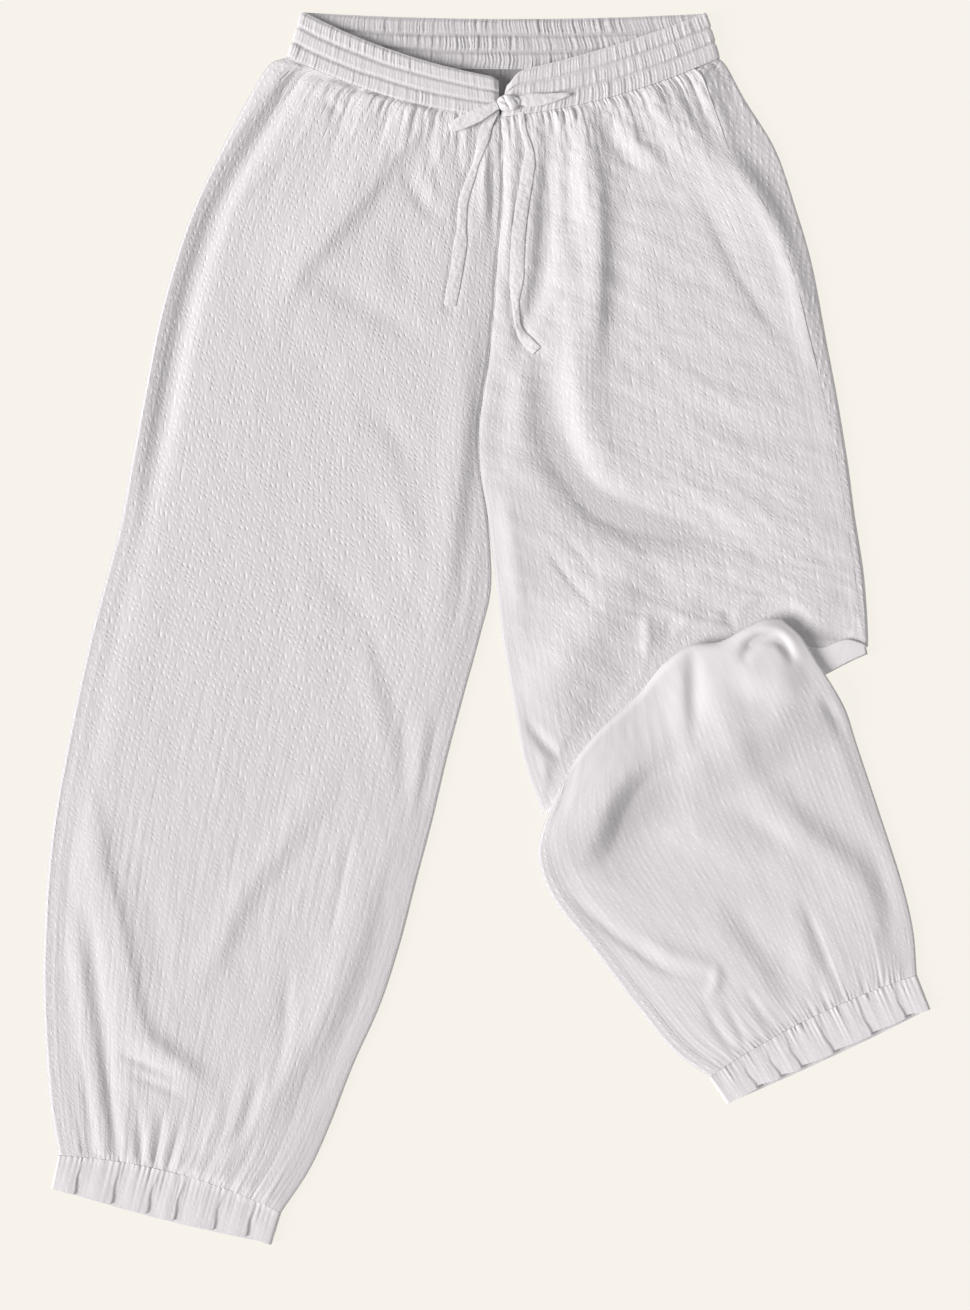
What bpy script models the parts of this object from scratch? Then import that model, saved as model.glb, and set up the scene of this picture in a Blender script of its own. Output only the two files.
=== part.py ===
"""Seersucker pyjama pants, laid flat with the left leg folded at the knee.

Each cut piece of cloth is a closed wall of its own: front and back of each leg, the gathered
waistband, the ankle frills and the drawstring. The surface that the pants lie on is z = 0, the waist
points along +Y, and +X is to the right of someone who looks down at the front. The wearer's right leg
is the straight one, on the -X side. Sizes below are in millimetres and the meshes are in metres.
"""

import math
from collections import namedtuple

import bmesh
import bpy
import numpy as np
from mathutils import Vector
from mathutils.bvhtree import BVHTree
from mathutils.geometry import tessellate_polygon

# Thicknesses and gaps
MM = 0.001
CLOTH = 1.5
BAND_CLOTH = 2.4
SEAM_GAP = 0.4
LAYER_GAP = 0.4

# Height of the cloth as it lies
EDGE_RADIUS = 5.0
EDGE_LOFT = 5.6
CROWN_LOFT = 7.6
CROWN_REACH = 26.0
SIDE_CALM = 16.0
FLAT_LOFT = 2 * CLOTH + LAYER_GAP
BAND_LOFT = 7.4

# Gathers
BAND_FRONT_GATHERS = 17
BAND_BACK_GATHERS = 25
BAND_CHANNELS = 3
BAND_CHANNEL_RISE = 0.9
BAND_GATHER_RISE = 0.7
WAIST_GATHER_RISE = 1.3
WAIST_GATHER_REACH = 42.0
BACK_GATHER_RISE = 1.0
BACK_GATHER_REACH = 20.0
ANKLE_GATHER_RISE = 1.0
ANKLE_GATHER_REACH = 26.0
FRILL_WAVES = 8
FRILL_FRONT_GATHERS = FRILL_WAVES * 3 // 2
FRILL_BACK_GATHERS = FRILL_WAVES // 2
FRILL_RISE = 2.6
FRILL_UNEVEN = 0.15
FRILL_LOFT = 5.6

# Mesh resolution
LEG_COLUMNS = 19
SHIN_COLUMNS = 19
SHIN_BACK_COLUMNS = 12
BACK_COLUMNS = 5
CURL_STEPS = 3
WRAP_STEPS = 4
STRIP_COLUMNS = 3
FRILL_STEPS = 3
SHORTEST_STEP = 0.15
FOLD_POINTS = 20
EDGE_POINTS = 60
COVER_POINTS = 40
TAIL_POINTS = 30
LOOP_POINTS = 9
LOOP_TURN_POINTS = 5
KNOT_AROUND = 18
KNOT_LEVELS = 7
SHARP_EDGE = math.radians(50)
HIP_STEPS = [3, 2, 1, 1, 1, 1, 2, 2, 2]
THIGH_STEPS = [2, 1, 1, 1]
CALF_STEPS = [1, 1, 1, 1, 1, 1, 1, 1, 2, 1, 2]
SHIN_STEPS = [2, 1, 1, 2, 2, 3, 3, 2, 2]

# Knee fold: the upper leg ends on a fold line, and the shin lies on the layers turned back above it
KNEE_FLOOR = EDGE_LOFT + 0.5
KNEE_TOP = KNEE_FLOOR + 4.4
KNEE_NOSE = 4.0
KNEE_NOSE_SETBACK = 0.5
KNEE_RINGS = 16
SHIN_REST = KNEE_TOP + 1.5 * LAYER_GAP
SHIN_RAMP = 48.0
SHIN_RAMP_SETBACK = 9.0
SHIN_ROLL = 7.0
SHIN_BOW_REACH = 120.0
SHIN_BACK_SETBACK = 11.0
CAP_MARGIN = 14.0
CAP_FADE = 26.0
CAP_RISE = 12.0

# Drawstring
TAPE_WIDTH = 9.5
TAPE_CLOTH = 1.1
TAPE_CLEARANCE = 0.8
TAPE_CROWN = 0.3
TURNED_END_POINTS = 4
TURNED_END_RISE = 0.8
LOOP_CLOTH = 1.0
LOOP_CLEARANCE = 0.4
LOOP_SPREAD = 3.4
LOOP_ROOT_WIDTH = 0.62
LOOP_TIP_WIDTH = 0.72
LOOP_ROOT_SPREAD = 0.7
LOOP_TIP_SPREAD = 0.8
KNOT_CENTRE = (18.0, 428.0)
KNOT_SIZE = (17.0, 12.0, 6.4)
KNOT_CLEARANCE = 0.5
KNOT_SQUARENESS = 0.7
KNOT_WRAPS = 3
KNOT_WRAP_RISE = 0.1

COTTON = (0.86, 0.86, 0.875)
TAPE_COTTON = (0.89, 0.89, 0.90)

# A section runs from side a, at the left of the view, to side b. bow is how far its middle hangs
# towards the ankle. seam is how far the side seam has rolled in from the edge, on top. curl is how
# far the other side closes round to a tube: 0 at the centre seam and 1 below the crotch.
Section = namedtuple("Section", "ax ay bx by bow seam curl")

RIGHT_LEG = [
    Section(-163, 468, 11, 417, 9, 17, 0),
    Section(-192, 441, 13, 384, 5, 14, 0),
    Section(-218, 392, 13, 343, 2, 9, 0),
    Section(-241, 343, 9, 306, 0, 7, 0),
    Section(-258, 294, 6, 258, 0, 7, 0),
    Section(-271, 244, 0, 208, 0, 7, 0),
    Section(-282, 187, -6, 167, 0, 7, 0),
    Section(-292, 134, -5, 130, 0, 7, 0.4),
    Section(-301, 85, 1, 90, 0, 7, 1),
    Section(-313, 39, 4, 35, 0, 7, 1),
    Section(-324, -2, -5, -6, 0, 7, 1),
    Section(-335, -51, -19, -57, 0, 7, 1),
    Section(-345, -100, -32, -106, 0, 7, 1),
    Section(-354, -149, -44, -157, 0, 7, 1),
    Section(-360, -198, -58, -210, 0, 7, 1),
    Section(-363, -248, -71, -260, 0, 7, 1),
    Section(-364, -297, -87, -309, 0, 7, 1),
    Section(-362, -346, -109, -358, 0, 7, 1),
    Section(-358, -391, -128, -407, -4, 7, 1),
    Section(-355, -412, -145, -444, -8, 7, 1),
    Section(-351, -432, -168, -479, -10, 7, 1),
]

LEFT_LEG = [
    Section(11, 417, 191, 467, 8, 22, 0),
    Section(13, 384, 212, 433, 4, 27, 0),
    Section(13, 343, 237, 392, 1, 36, 0),
    Section(9, 306, 254, 343, 0, 24, 0),
    Section(6, 258, 267, 298, 0, 18, 0),
    Section(0, 208, 278, 240, 0, 14, 0),
    Section(-6, 167, 288, 187, 0, 11, 0),
    Section(-5, 130, 296, 138, 0, 9, 0.4),
    Section(1, 90, 302, 93, 0, 8, 1),
    Section(8, 35, 309, 48, 0, 8, 1),
    Section(13, -10, 312, 15, 0, 7, 1),
    Section(22, -62, 313, -6, 0, 7, 1),
    Section(30, -107, 313, -11, 0, 7, 1),
    Section(45, -151, 313, -15, 0, 7, 1),
]

LEFT_SHIN = [
    Section(63, -120, 241, 7, 0, 11, 1),
    Section(57, -137, 257, -7, 0, 11, 1),
    Section(51, -151, 269, -26, 0, 11, 1),
    Section(45, -166, 282, -46, 0, 11, 1),
    Section(42, -188, 295, -69, 0, 11, 1),
    Section(54, -222, 305, -99, 0, 11, 1),
    Section(89, -266, 322, -150, 0, 11, 1),
    Section(124, -312, 341, -209, 0, 11, 1),
    Section(152, -346, 350, -248, -4, 11, 1),
    Section(182, -368, 353, -284, -7, 11, 1),
]

# The band's rows run from its top edge to the seam that joins it to the legs
BAND_FRONT_RIGHT = [
    Section(-151, 505, 11, 450, 7, 0, 0),
    Section(-163, 468, 11, 417, 9, 0, 0),
]
BAND_FRONT_LEFT = [
    Section(11, 450, 180, 504, 5, 0, 0),
    Section(11, 417, 191, 467, 8, 0, 0),
]
BAND_BACK = [
    Section(-151, 505, 180, 504, 5, 0, 1),
    Section(-163, 468, 191, 467, 7, 0, 1),
]
BACK_WAIST_RIGHT = Section(-163, 468, 13, 459, 2, 17, 0)
BACK_WAIST_LEFT = Section(13, 459, 191, 467, 2, 22, 0)

FRILL_RIGHT = [
    Section(-351, -432, -168, -479, -10, 0, 1),
    Section(-357, -459, -176, -505, 3, 0, 1),
]
FRILL_LEFT = [
    Section(182, -368, 353, -284, -7, 0, 1),
    Section(197, -390, 364, -312, 2, 0, 1),
]

# The shin's upper edge, a soft arc between its two sides
SHIN_EDGE = [
    (63, -120), (89, -87), (126, -52), (146, -28), (167, -14), (191, -11), (214, 1), (229, 7), (241, 7),
]

# How far up the thigh the fold covers it: that edge, and the turned back layers that show as a lip
KNEE_COVER = [(50, -151), (57, -143), *SHIN_EDGE, (257, -7), (272, -11), (298, -4), (320, -10)]

# The layers hidden in the knee fold: a place on the fold line, and how far back they reach from it
KneeSection = namedtuple("KneeSection", "x y back_x back_y height")
KNEE_FOLD = [
    KneeSection(47, -151, 52, -147, 0.45),
    KneeSection(58, -145, 62, -136, 0.9),
    KneeSection(90, -129, 82, -101, 1),
    KneeSection(130, -109, 116, -66, 1),
    KneeSection(170, -88, 152, -35, 1),
    KneeSection(210, -68, 196, -20, 1),
    KneeSection(245, -50, 238, -6, 1),
    KneeSection(275, -35, 272, -16, 1),
    KneeSection(298, -23, 297, -9, 0.9),
    KneeSection(311, -17, 310, -13, 0.5),
]

# The outline across those layers, from their back rim over the top and down round the nose on the
# fold line. out is how far a point lies past the back or front edge. level is its height: -1 on the
# surface that the pants lie on, 0 on the thigh and 1 on top. The dips at half height part the layers.
KneeOutline = namedtuple("KneeOutline", "edge out level")
KNEE_OUTLINE = [
    KneeOutline("back", 1.6, 0),
    KneeOutline("back", 0.2, 0.15),
    KneeOutline("back", 0.2, 0.33),
    KneeOutline("back", 1.3, 0.5),
    KneeOutline("back", 0.2, 0.67),
    KneeOutline("back", 0.2, 0.85),
    KneeOutline("back", 1.6, 1),
    KneeOutline("middle", 0, 1),
    KneeOutline("front", -1.0, 1),
    KneeOutline("front", 0.68 * KNEE_NOSE, 0.8),
    KneeOutline("front", 1.03 * KNEE_NOSE, 0.75),
    KneeOutline("front", 0.73 * KNEE_NOSE, 0.4),
    KneeOutline("front", 1.13 * KNEE_NOSE, 0),
    KneeOutline("front", 0.93 * KNEE_NOSE, -0.65),
    KneeOutline("front", 0.63 * KNEE_NOSE, -1),
    KneeOutline("front", KNEE_NOSE_SETBACK, -1),
    KneeOutline("front", KNEE_NOSE_SETBACK, -0.03),
    KneeOutline("front", -KNEE_NOSE_SETBACK, 0),
]

# A fold is a soft ridge, or a trough where its rise is negative. lean makes one side steeper.
Fold = namedtuple("Fold", "rise width lean path")

THIGH_FOLDS = [
    Fold(-3.5, 12, 0.3, [(-53, 406), (-90, 356), (-150, 288)]),
    Fold(3.5, 18, 0, [(-145, 400), (-149, 351), (-143, 305)]),
    Fold(-2, 9, 0, [(-134, 437), (-123, 429), (-112, 419)]),
    Fold(3, 13, 0, [(-62, 356), (-41, 348), (-22, 338)]),
    Fold(3, 8, 0, [(-20, 318), (-17, 253), (-14, 187), (-15, 121), (-20, 56)]),
    Fold(-2.5, 8, 0, [(-11, 199), (-16, 146), (-26, 100), (-30, 56)]),
    Fold(4, 14, -0.3, [(130, 415), (159, 384), (183, 359), (227, 315)]),
    Fold(-3.5, 12, 0.3, [(170, 425), (191, 400), (214, 371), (239, 315)]),
    Fold(-2.5, 10, 0, [(96, 370), (96, 302), (95, 240)]),
    Fold(3.5, 12, 0, [(57, 380), (60, 277), (67, 184), (77, 139), (124, 98)]),
    Fold(-4, 15, 0.3, [(41, 210), (48, 162), (57, 121), (98, 96), (170, 80), (226, 60)]),
    Fold(-2, 5, 0, [(48, 64), (70, 37), (93, 10)]),
    Fold(-3, 7, 0, [(45, 402), (41, 359), (38, 302), (29, 240)]),
    Fold(2, 10, 0, [(4, 140), (9, 56), (14, -30)]),
]

CALF_FOLDS = [
    Fold(-3, 11, 0, [(-320, -150), (-301, -239), (-278, -317), (-235, -367), (-203, -398)]),
    Fold(-3.5, 12, 0.2, [(-122, -124), (-153, -182), (-187, -235), (-219, -272), (-255, -312)]),
    Fold(4, 12, 0, [(-136, -116), (-166, -174), (-200, -223), (-231, -260), (-268, -297)]),
    Fold(4.5, 11, 0, [(-212, -426), (-169, -362), (-132, -311), (-112, -272), (-91, -230)]),
    Fold(-3, 8, 0, [(-201, -421), (-164, -363), (-132, -326)]),
    Fold(-2.5, 8, 0, [(-331, -310), (-319, -371), (-303, -422)]),
    Fold(3, 12, 0, [(-304, -348), (-276, -354), (-251, -367), (-231, -387)]),
]

SHIN_FOLDS = [
    Fold(-4, 16, 0.2, [(148, -106), (126, -141), (109, -165), (83, -191)]),
    Fold(4, 16, 0, [(70, -138), (101, -100), (142, -59), (175, -36), (216, -26), (252, -36)]),
    Fold(-3, 8, 0, [(163, -30), (169, -59), (171, -90)]),
    Fold(-4, 14, 0.2, [(218, -114), (258, -161), (305, -191), (326, -235), (328, -276)]),
    Fold(-2.5, 9, 0, [(268, -48), (277, -69), (289, -96)]),
    Fold(-2.5, 8, 0, [(75, -226), (143, -277), (185, -300)]),
    Fold(4, 28, 0, [(172, -100), (200, -157), (224, -207), (243, -262)]),
]

# Drawstring routes over what lies below them
TAIL_RIGHT_SIDE = [
    (7, 423), (1, 412), (-4, 394), (-11, 373), (-18, 352), (-21, 318), (-24, 296), (-30, 264),
]
TAIL_LEFT_SIDE = [
    (28, 421), (31, 408), (37, 390), (36, 368), (32, 344), (28, 318), (26, 292), (24, 264), (28, 242),
    (41, 227),
]
LOOP_RIGHT_SIDE = [(6, 426), (-9, 418), (-29, 408)]
LOOP_LEFT_SIDE = [(29, 430), (47, 431), (67, 435)]


def clear_scene():
    for thing in list(bpy.data.objects):
        bpy.data.objects.remove(thing, do_unlink=True)


def cotton(name, colour, roughness):
    material = bpy.data.materials.new(name)
    material.use_nodes = True
    shader = material.node_tree.nodes["Principled BSDF"]
    shader.inputs["Base Color"].default_value = (*colour, 1.0)
    shader.inputs["Roughness"].default_value = roughness
    shader.inputs["Metallic"].default_value = 0.0
    return material


def smooth(at, known, values):
    """Values read at new places on a smooth curve through the known ones."""
    known = np.asarray(known, float)
    values = np.asarray(values, float)
    slope = np.gradient(values, known, axis=0)
    cell = np.clip(np.searchsorted(known, at, side="right") - 1, 0, len(known) - 2)
    step = (known[cell + 1] - known[cell])[:, None]
    t = (np.asarray(at) - known[cell])[:, None] / step
    start = (2 * t**3 - 3 * t**2 + 1) * values[cell] + (t**3 - 2 * t**2 + t) * slope[cell] * step
    end = (3 * t**2 - 2 * t**3) * values[cell + 1] + (t**3 - t**2) * slope[cell + 1] * step
    return start + end


def smooth_line(points, count):
    """A smooth line through a few points, as evenly spaced ones."""
    points = np.asarray(points, float)
    reach = np.append(0, np.cumsum(np.linalg.norm(np.diff(points, axis=0), axis=1)))
    return smooth(np.linspace(0, reach[-1], count), reach, points)


def smoothstep(value):
    value = np.clip(value, 0, 1)
    return value * value * (3 - 2 * value)


def distance_to_line(x, y, line):
    """Distance from points to a line, the side they are on, and how far along it they are."""
    start, step = line[:-1], np.diff(line, axis=0)
    from_start = np.stack([x, y], axis=-1)[..., None, :] - start
    along = np.clip((from_start * step).sum(-1) / (step * step).sum(-1), 0, 1)
    offset = from_start - along[..., None] * step
    gap = np.hypot(offset[..., 0], offset[..., 1])
    nearest = gap.argmin(-1)[..., None]
    side = np.sign(step[:, 0] * from_start[..., 1] - step[:, 1] * from_start[..., 0])
    share = (np.take_along_axis(along, nearest, -1) + nearest) / len(step)
    return (
        np.take_along_axis(gap, nearest, -1)[..., 0],
        np.take_along_axis(side, nearest, -1)[..., 0],
        share[..., 0],
    )


def fold_relief(folds, x, y):
    """Height that a table of folds adds at each point. Each one fades out towards both its ends."""
    total = np.zeros_like(x)
    for fold in folds:
        gap, side, share = distance_to_line(x, y, smooth_line(fold.path, FOLD_POINTS))
        width = fold.width * (1 + fold.lean * side)
        total += fold.rise * np.exp(-((gap / width) ** 2)) * np.sin(math.pi * share) ** 0.6
    return total


def soften_above(height, lowest, bend=0.5):
    """Heights kept above a lowest one, bending softly where they come near it."""
    return lowest + bend * np.logaddexp(0, (height - lowest) / bend)


def soften_below(height, highest, bend=0.25):
    return highest - bend * np.logaddexp(0, (highest - height) / bend)


class Sections:
    """A table of sections read at chosen places between its rows.

    steps is how many stretches each gap between two rows of the table is divided into. Legs that
    meet at a seam share their first rows and steps, so that the seam is one line for both."""

    def __init__(self, table, steps, start_gap=0.0, edge=None, edge_reach=1.0, roll=0.0):
        middle = np.array([((s.ax + s.bx) / 2, (s.ay + s.by) / 2) for s in table], float)
        reach = np.append(0, np.cumsum(np.linalg.norm(np.diff(middle, axis=0), axis=1)))
        numbers = np.arange(len(table))
        steps = np.broadcast_to(steps, len(table) - 1)
        places = np.concatenate([k + np.arange(n) / n for k, n in enumerate(steps)] + [numbers[-1:]])
        rolled_in = np.interp(start_gap, reach, numbers)
        if roll:
            turned = np.linspace(1, 0, CURL_STEPS + 1)
            rolled_in = np.interp(roll * (1 - np.sin(turned * math.pi / 2)), reach, numbers)
        places = np.append(rolled_in, places[places > np.max(rolled_in) + SHORTEST_STEP])
        self.at = np.interp(places, numbers, reach)
        self.length = reach[-1]
        columns = smooth(places, numbers, np.array(table, float))
        self.a, self.b = columns[:, 0:2], columns[:, 2:4]
        self.bow, self.seam = columns[:, 4], columns[:, 5]
        self.curl = np.clip(columns[:, 6], 0, 1)
        run = self.b - self.a
        self.width = np.linalg.norm(run, axis=1)
        self.along = run / self.width[:, None]
        self.down = np.stack([self.along[:, 1], -self.along[:, 0]], axis=1)
        self.edge = None if edge is None else smooth_line(edge, EDGE_POINTS)
        self.edge_reach = edge_reach

    def plan(self, w):
        """Points on the surface that the pants lie on, at distance w from side a in each section."""
        share = w / self.width[:, None]
        hang = self.bow[:, None] * 4 * share * (1 - share)
        point = self.a[:, None] + self.along[:, None] * w[..., None] + self.down[:, None] * hang[..., None]
        if self.edge is None:
            return point
        place = np.clip(share, 0, 1) * (len(self.edge) - 1)
        numbers = np.arange(len(self.edge))
        on_edge = np.stack([np.interp(place, numbers, self.edge[:, k]) for k in (0, 1)], axis=-1)
        chord = self.edge[0] + (self.edge[-1] - self.edge[0]) * np.clip(share, 0, 1)[..., None]
        fade = 1 - smoothstep(self.at / self.edge_reach)
        return point + (on_edge - chord) * fade[:, None, None]


def turned_columns(rows, steps, from_a, curl):
    """Columns of a side that closes round: distance from side a, and the angle turned so far."""
    turned = np.linspace(1, 1 / steps, steps)
    if not from_a:
        turned = turned[::-1]
    curl = curl[:, None]
    reach_in = 1 - ((1 - curl) * turned + curl * np.sin(turned * math.pi / 2))
    inset = SEAM_GAP / 2 + EDGE_RADIUS * reach_in
    w = inset if from_a else rows.width[:, None] - inset
    return w, turned * curl * math.pi / 2


def middle_columns(start, end, count):
    share = np.linspace(0, 1, count)
    return start[:, None] * (1 - share) + end[:, None] * share


def build_wall(name, outer, inner, material):
    """One closed wall of cloth between two grids of points, as a node of its own."""
    rows, columns = outer.shape[:2]
    points = np.concatenate([outer.reshape(-1, 3), inner.reshape(-1, 3)]) * MM
    below = rows * columns
    faces = []
    for r in range(rows - 1):
        for c in range(columns - 1):
            p = r * columns + c
            q = p + columns
            faces += [(p, q, q + 1), (p, q + 1, p + 1)]
            faces += [(below + p, below + q + 1, below + q), (below + p, below + p + 1, below + q + 1)]
    across = range(columns - 1)
    rim = [(c, c + 1) for c in across]
    rim += [(r * columns + columns - 1, (r + 1) * columns + columns - 1) for r in range(rows - 1)]
    rim += [((rows - 1) * columns + c + 1, (rows - 1) * columns + c) for c in across]
    rim += [((r + 1) * columns, r * columns) for r in range(rows - 1)]
    for p, q in rim:
        faces += [(p, q, below + q), (p, below + q, below + p)]
    corners = points[np.array(faces)]
    volume = np.einsum("ij,ij->i", corners[:, 0], np.cross(corners[:, 1], corners[:, 2])).sum()
    if volume < 0:
        faces = [face[::-1] for face in faces]
    mesh = bpy.data.meshes.new(name)
    mesh.from_pydata(points.tolist(), [], faces)
    mesh.materials.append(material)
    mesh.shade_smooth()
    mesh.set_sharp_from_angle(angle=SHARP_EDGE)
    node = bpy.data.objects.new(name, mesh)
    bpy.context.scene.collection.objects.link(node)
    return node


def offset_wall(name, plan, height, normal, cloth, material, relief=None, relief_inside=False):
    """A wall whose outer points lie on a surface, and whose inner points are moved in by its thickness.

    Relief is raised on one face only, so the other one stays plain."""
    outer = np.concatenate([plan, height[..., None]], axis=-1)
    inner = outer - cloth * normal
    if relief is not None:
        raised = inner if relief_inside else outer
        raised[..., 2] += relief
    return build_wall(name, outer, inner, material)


def crown(rows, w, curl_at_a, loft):
    """Height of the cloth between its rounded sides, a little higher in the middle."""
    from_a = np.maximum(w - EDGE_RADIUS, 0)
    from_b = np.maximum(rows.width[:, None] - w - EDGE_RADIUS, 0)
    rise = (1 - np.exp(-from_a / CROWN_REACH)) * (1 - np.exp(-from_b / CROWN_REACH))
    near_curl, near_seam = (from_a, from_b) if curl_at_a else (from_b, from_a)
    curl = rows.curl[:, None]
    calm = 1 - curl + curl * smoothstep(near_curl / SIDE_CALM)
    calm = calm * smoothstep(near_seam / SIDE_CALM)
    return EDGE_LOFT + (loft - EDGE_LOFT) * rise, calm


def end_gathers(rows, w, waist_rise, ankle_rise):
    """Pleats that run out of the band and the ankle elastic, one on every second column."""
    parity = np.where(np.arange(w.shape[1]) % 2 == 0, 1.0, -1.0)
    uneven = 0.75 + 0.25 * np.sin(2.4 * np.arange(w.shape[1]))
    from_waist = rows.at[:, None]
    from_ankle = rows.length - rows.at[:, None]
    fade = waist_rise * np.exp(-from_waist / WAIST_GATHER_REACH)
    fade = fade + ankle_rise * np.exp(-from_ankle / ANKLE_GATHER_REACH)
    return fade * parity * uneven


def top_wall(name, rows, columns, folds, material, curl_at_a, waist_rise, ankle_rise, base=None, cap=None,
             rolled=False):
    """The upper layer of a leg: from the side seam on top, across, and down round the other side."""
    curl_w, curl_angle = turned_columns(rows, CURL_STEPS, curl_at_a, rows.curl)
    seam = rows.seam + SEAM_GAP / 2
    far = rows.width - (SEAM_GAP / 2 + EDGE_RADIUS)
    near = np.full_like(rows.width, SEAM_GAP / 2 + EDGE_RADIUS)
    if curl_at_a:
        middle = middle_columns(near, rows.width - seam, columns)
        w = np.hstack([curl_w, middle])
        angle = np.hstack([curl_angle, np.zeros_like(middle)])
        outward = -1.0
    else:
        middle = middle_columns(seam, far, columns)
        w = np.hstack([middle, curl_w])
        angle = np.hstack([np.zeros_like(middle), curl_angle])
        outward = 1.0
    plan = rows.plan(w)
    loft, calm = crown(rows, w, curl_at_a, CROWN_LOFT)
    height = loft + fold_relief(folds, plan[..., 0], plan[..., 1]) * calm
    height = height + end_gathers(rows, w, waist_rise, ankle_rise) * calm
    height = soften_above(height, FLAT_LOFT)
    if cap is not None:
        height = soften_below(height, cap(plan))
    return finish_top(name, rows, plan, height, angle, outward, material, base, rolled)


def finish_top(name, rows, plan, height, angle, outward, material, base, rolled):
    middle = EDGE_LOFT / 2 + SEAM_GAP / 2
    lift = middle + (height - middle) * np.cos(angle)
    sideways = rows.along[:, None] * outward * np.sin(angle)[..., None]
    normal = np.concatenate([sideways, np.cos(angle)[..., None]], axis=-1)
    if rolled:
        turned = np.zeros(len(rows.at))
        turned[:CURL_STEPS] = np.linspace(1, 0, CURL_STEPS + 1)[:-1] * math.pi / 2
        lift = middle + (lift - middle) * np.cos(turned)[:, None]
        tangent = np.gradient(plan[0], axis=0)
        away = np.stack([-tangent[:, 1], tangent[:, 0]], axis=1)
        away /= np.linalg.norm(away, axis=1)[:, None]
        normal = normal * np.cos(turned)[:, None, None]
        normal[..., :2] += away[None] * np.sin(turned)[:, None, None]
        normal /= np.linalg.norm(normal, axis=-1)[..., None]
    if base is not None:
        lift = lift + base(plan)
    return offset_wall(name, plan, lift, normal, CLOTH, material)


def bottom_wall(name, rows, top_rows, columns, folds, material, curl_at_a, gathered=True, base=None):
    """The lower layer of a leg: flat below, round the seam side to the side seam on top.

    What has rolled onto the top keeps to the sections of the top wall, which start lower at the waist."""
    curl_w, curl_angle = turned_columns(rows, CURL_STEPS, False, rows.curl)
    round_angle = np.linspace(math.pi, 0, WRAP_STEPS + 1)
    inset = EDGE_RADIUS * (1 - np.sin(round_angle))
    near = np.full_like(rows.width, EDGE_RADIUS)
    top_w = middle_columns(rows.seam - SEAM_GAP / 2, near, STRIP_COLUMNS)[:, :-1]
    wrap_w = np.hstack([top_w, np.tile(inset, (len(rows.at), 1))])
    wrap_angle = np.hstack([np.full_like(top_w, math.pi), np.tile(round_angle, (len(rows.at), 1))])
    far = rows.width - (SEAM_GAP / 2 + EDGE_RADIUS)
    middle = middle_columns(near, far, columns)[:, 1:]
    w = np.hstack([wrap_w, middle, curl_w])
    angle = np.hstack([wrap_angle, np.zeros_like(middle), curl_angle])
    side = np.ones(w.shape[1])
    side[: wrap_w.shape[1]] = -1
    if curl_at_a:
        w, angle, side = (rows.width[:, None] - w)[:, ::-1], angle[:, ::-1], -side[::-1]
    on_top = angle > math.pi - 1e-6
    curling = (side > 0) != curl_at_a
    top_w = w + (top_rows.width - rows.width)[:, None] if curl_at_a else w
    on_front = np.where(curling, 0, (1 - np.cos(angle)) / 2)[..., None]
    plan = rows.plan(w) * (1 - on_front) + top_rows.plan(top_w) * on_front
    loft, calm = crown(rows, w, curl_at_a, CROWN_LOFT)
    top = soften_above(loft + fold_relief(folds, plan[..., 0], plan[..., 1]) * calm, FLAT_LOFT)
    half = np.where(curling, EDGE_LOFT / 2 - SEAM_GAP / 2, EDGE_LOFT / 2)
    height = np.where(on_top, top, half * (1 - np.cos(angle)))
    sideways = rows.along[:, None] * (side * np.sin(angle))[..., None]
    normal = np.concatenate([sideways, -np.cos(angle)[..., None]], axis=-1)
    relief = None
    if gathered:
        relief = np.where(angle == 0, 0.5 + 0.5 * end_gathers(rows, w, BACK_GATHER_RISE, 0.0), 0)
        relief = relief * np.exp(-rows.at[:, None] / BACK_GATHER_REACH)
    if base is not None:
        height = height + base(plan)
    return offset_wall(name, plan, height, normal, CLOTH, material, relief, relief_inside=True)


def band_columns(rows, gathers, curl_a, curl_b):
    """Columns of a band: two for each gather, with rounded ends where a side is folded."""
    start = np.full_like(rows.width, SEAM_GAP / 2 + (EDGE_RADIUS if curl_a else 0))
    end = rows.width - SEAM_GAP / 2 - (EDGE_RADIUS if curl_b else 0)
    w = middle_columns(start, end, 2 * gathers + 1)
    angle = np.zeros_like(w)
    side = np.zeros(w.shape[1])
    full = np.ones_like(rows.width)
    if curl_a:
        more, turned = turned_columns(rows, CURL_STEPS, True, full)
        w = np.hstack([more, w])
        angle = np.hstack([turned, angle])
        side = np.append(-np.ones(CURL_STEPS), side)
    if curl_b:
        more, turned = turned_columns(rows, CURL_STEPS, False, full)
        w = np.hstack([w, more])
        angle = np.hstack([angle, turned])
        side = np.append(side, np.ones(CURL_STEPS))
    return w, angle, side


def band_relief(rows, w, angle):
    """Sewn channels along the band, and its gathers across them."""
    down = np.linspace(0, 1, len(rows.at))[:, None]
    channel = np.abs(np.sin(BAND_CHANNELS * math.pi * down))
    parity = np.where(np.arange(w.shape[1]) % 2 == 0, 1.0, 0.0)
    calm = np.cos(angle) ** 2
    return (BAND_CHANNEL_RISE * channel + BAND_GATHER_RISE * parity * (0.4 + 0.6 * channel)) * calm


def band_wall(name, table, gathers, ends, is_front, material):
    rows = Sections(table, 2 * BAND_CHANNELS)
    w, angle, side = band_columns(rows, gathers, *ends)
    relief = band_relief(rows, w, angle)
    plan = rows.plan(w)
    upright = 1.0 if is_front else -1.0
    half = BAND_LOFT / 2 - SEAM_GAP / 2
    height = BAND_LOFT / 2 + upright * (SEAM_GAP / 2 + half * np.cos(angle))
    sideways = rows.along[:, None] * (side * np.sin(angle))[..., None]
    normal = np.concatenate([sideways, upright * np.cos(angle)[..., None]], axis=-1)
    cloth = BAND_CLOTH if is_front else CLOTH
    return offset_wall(name, plan, height, normal, cloth, material, relief, relief_inside=not is_front)


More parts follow.
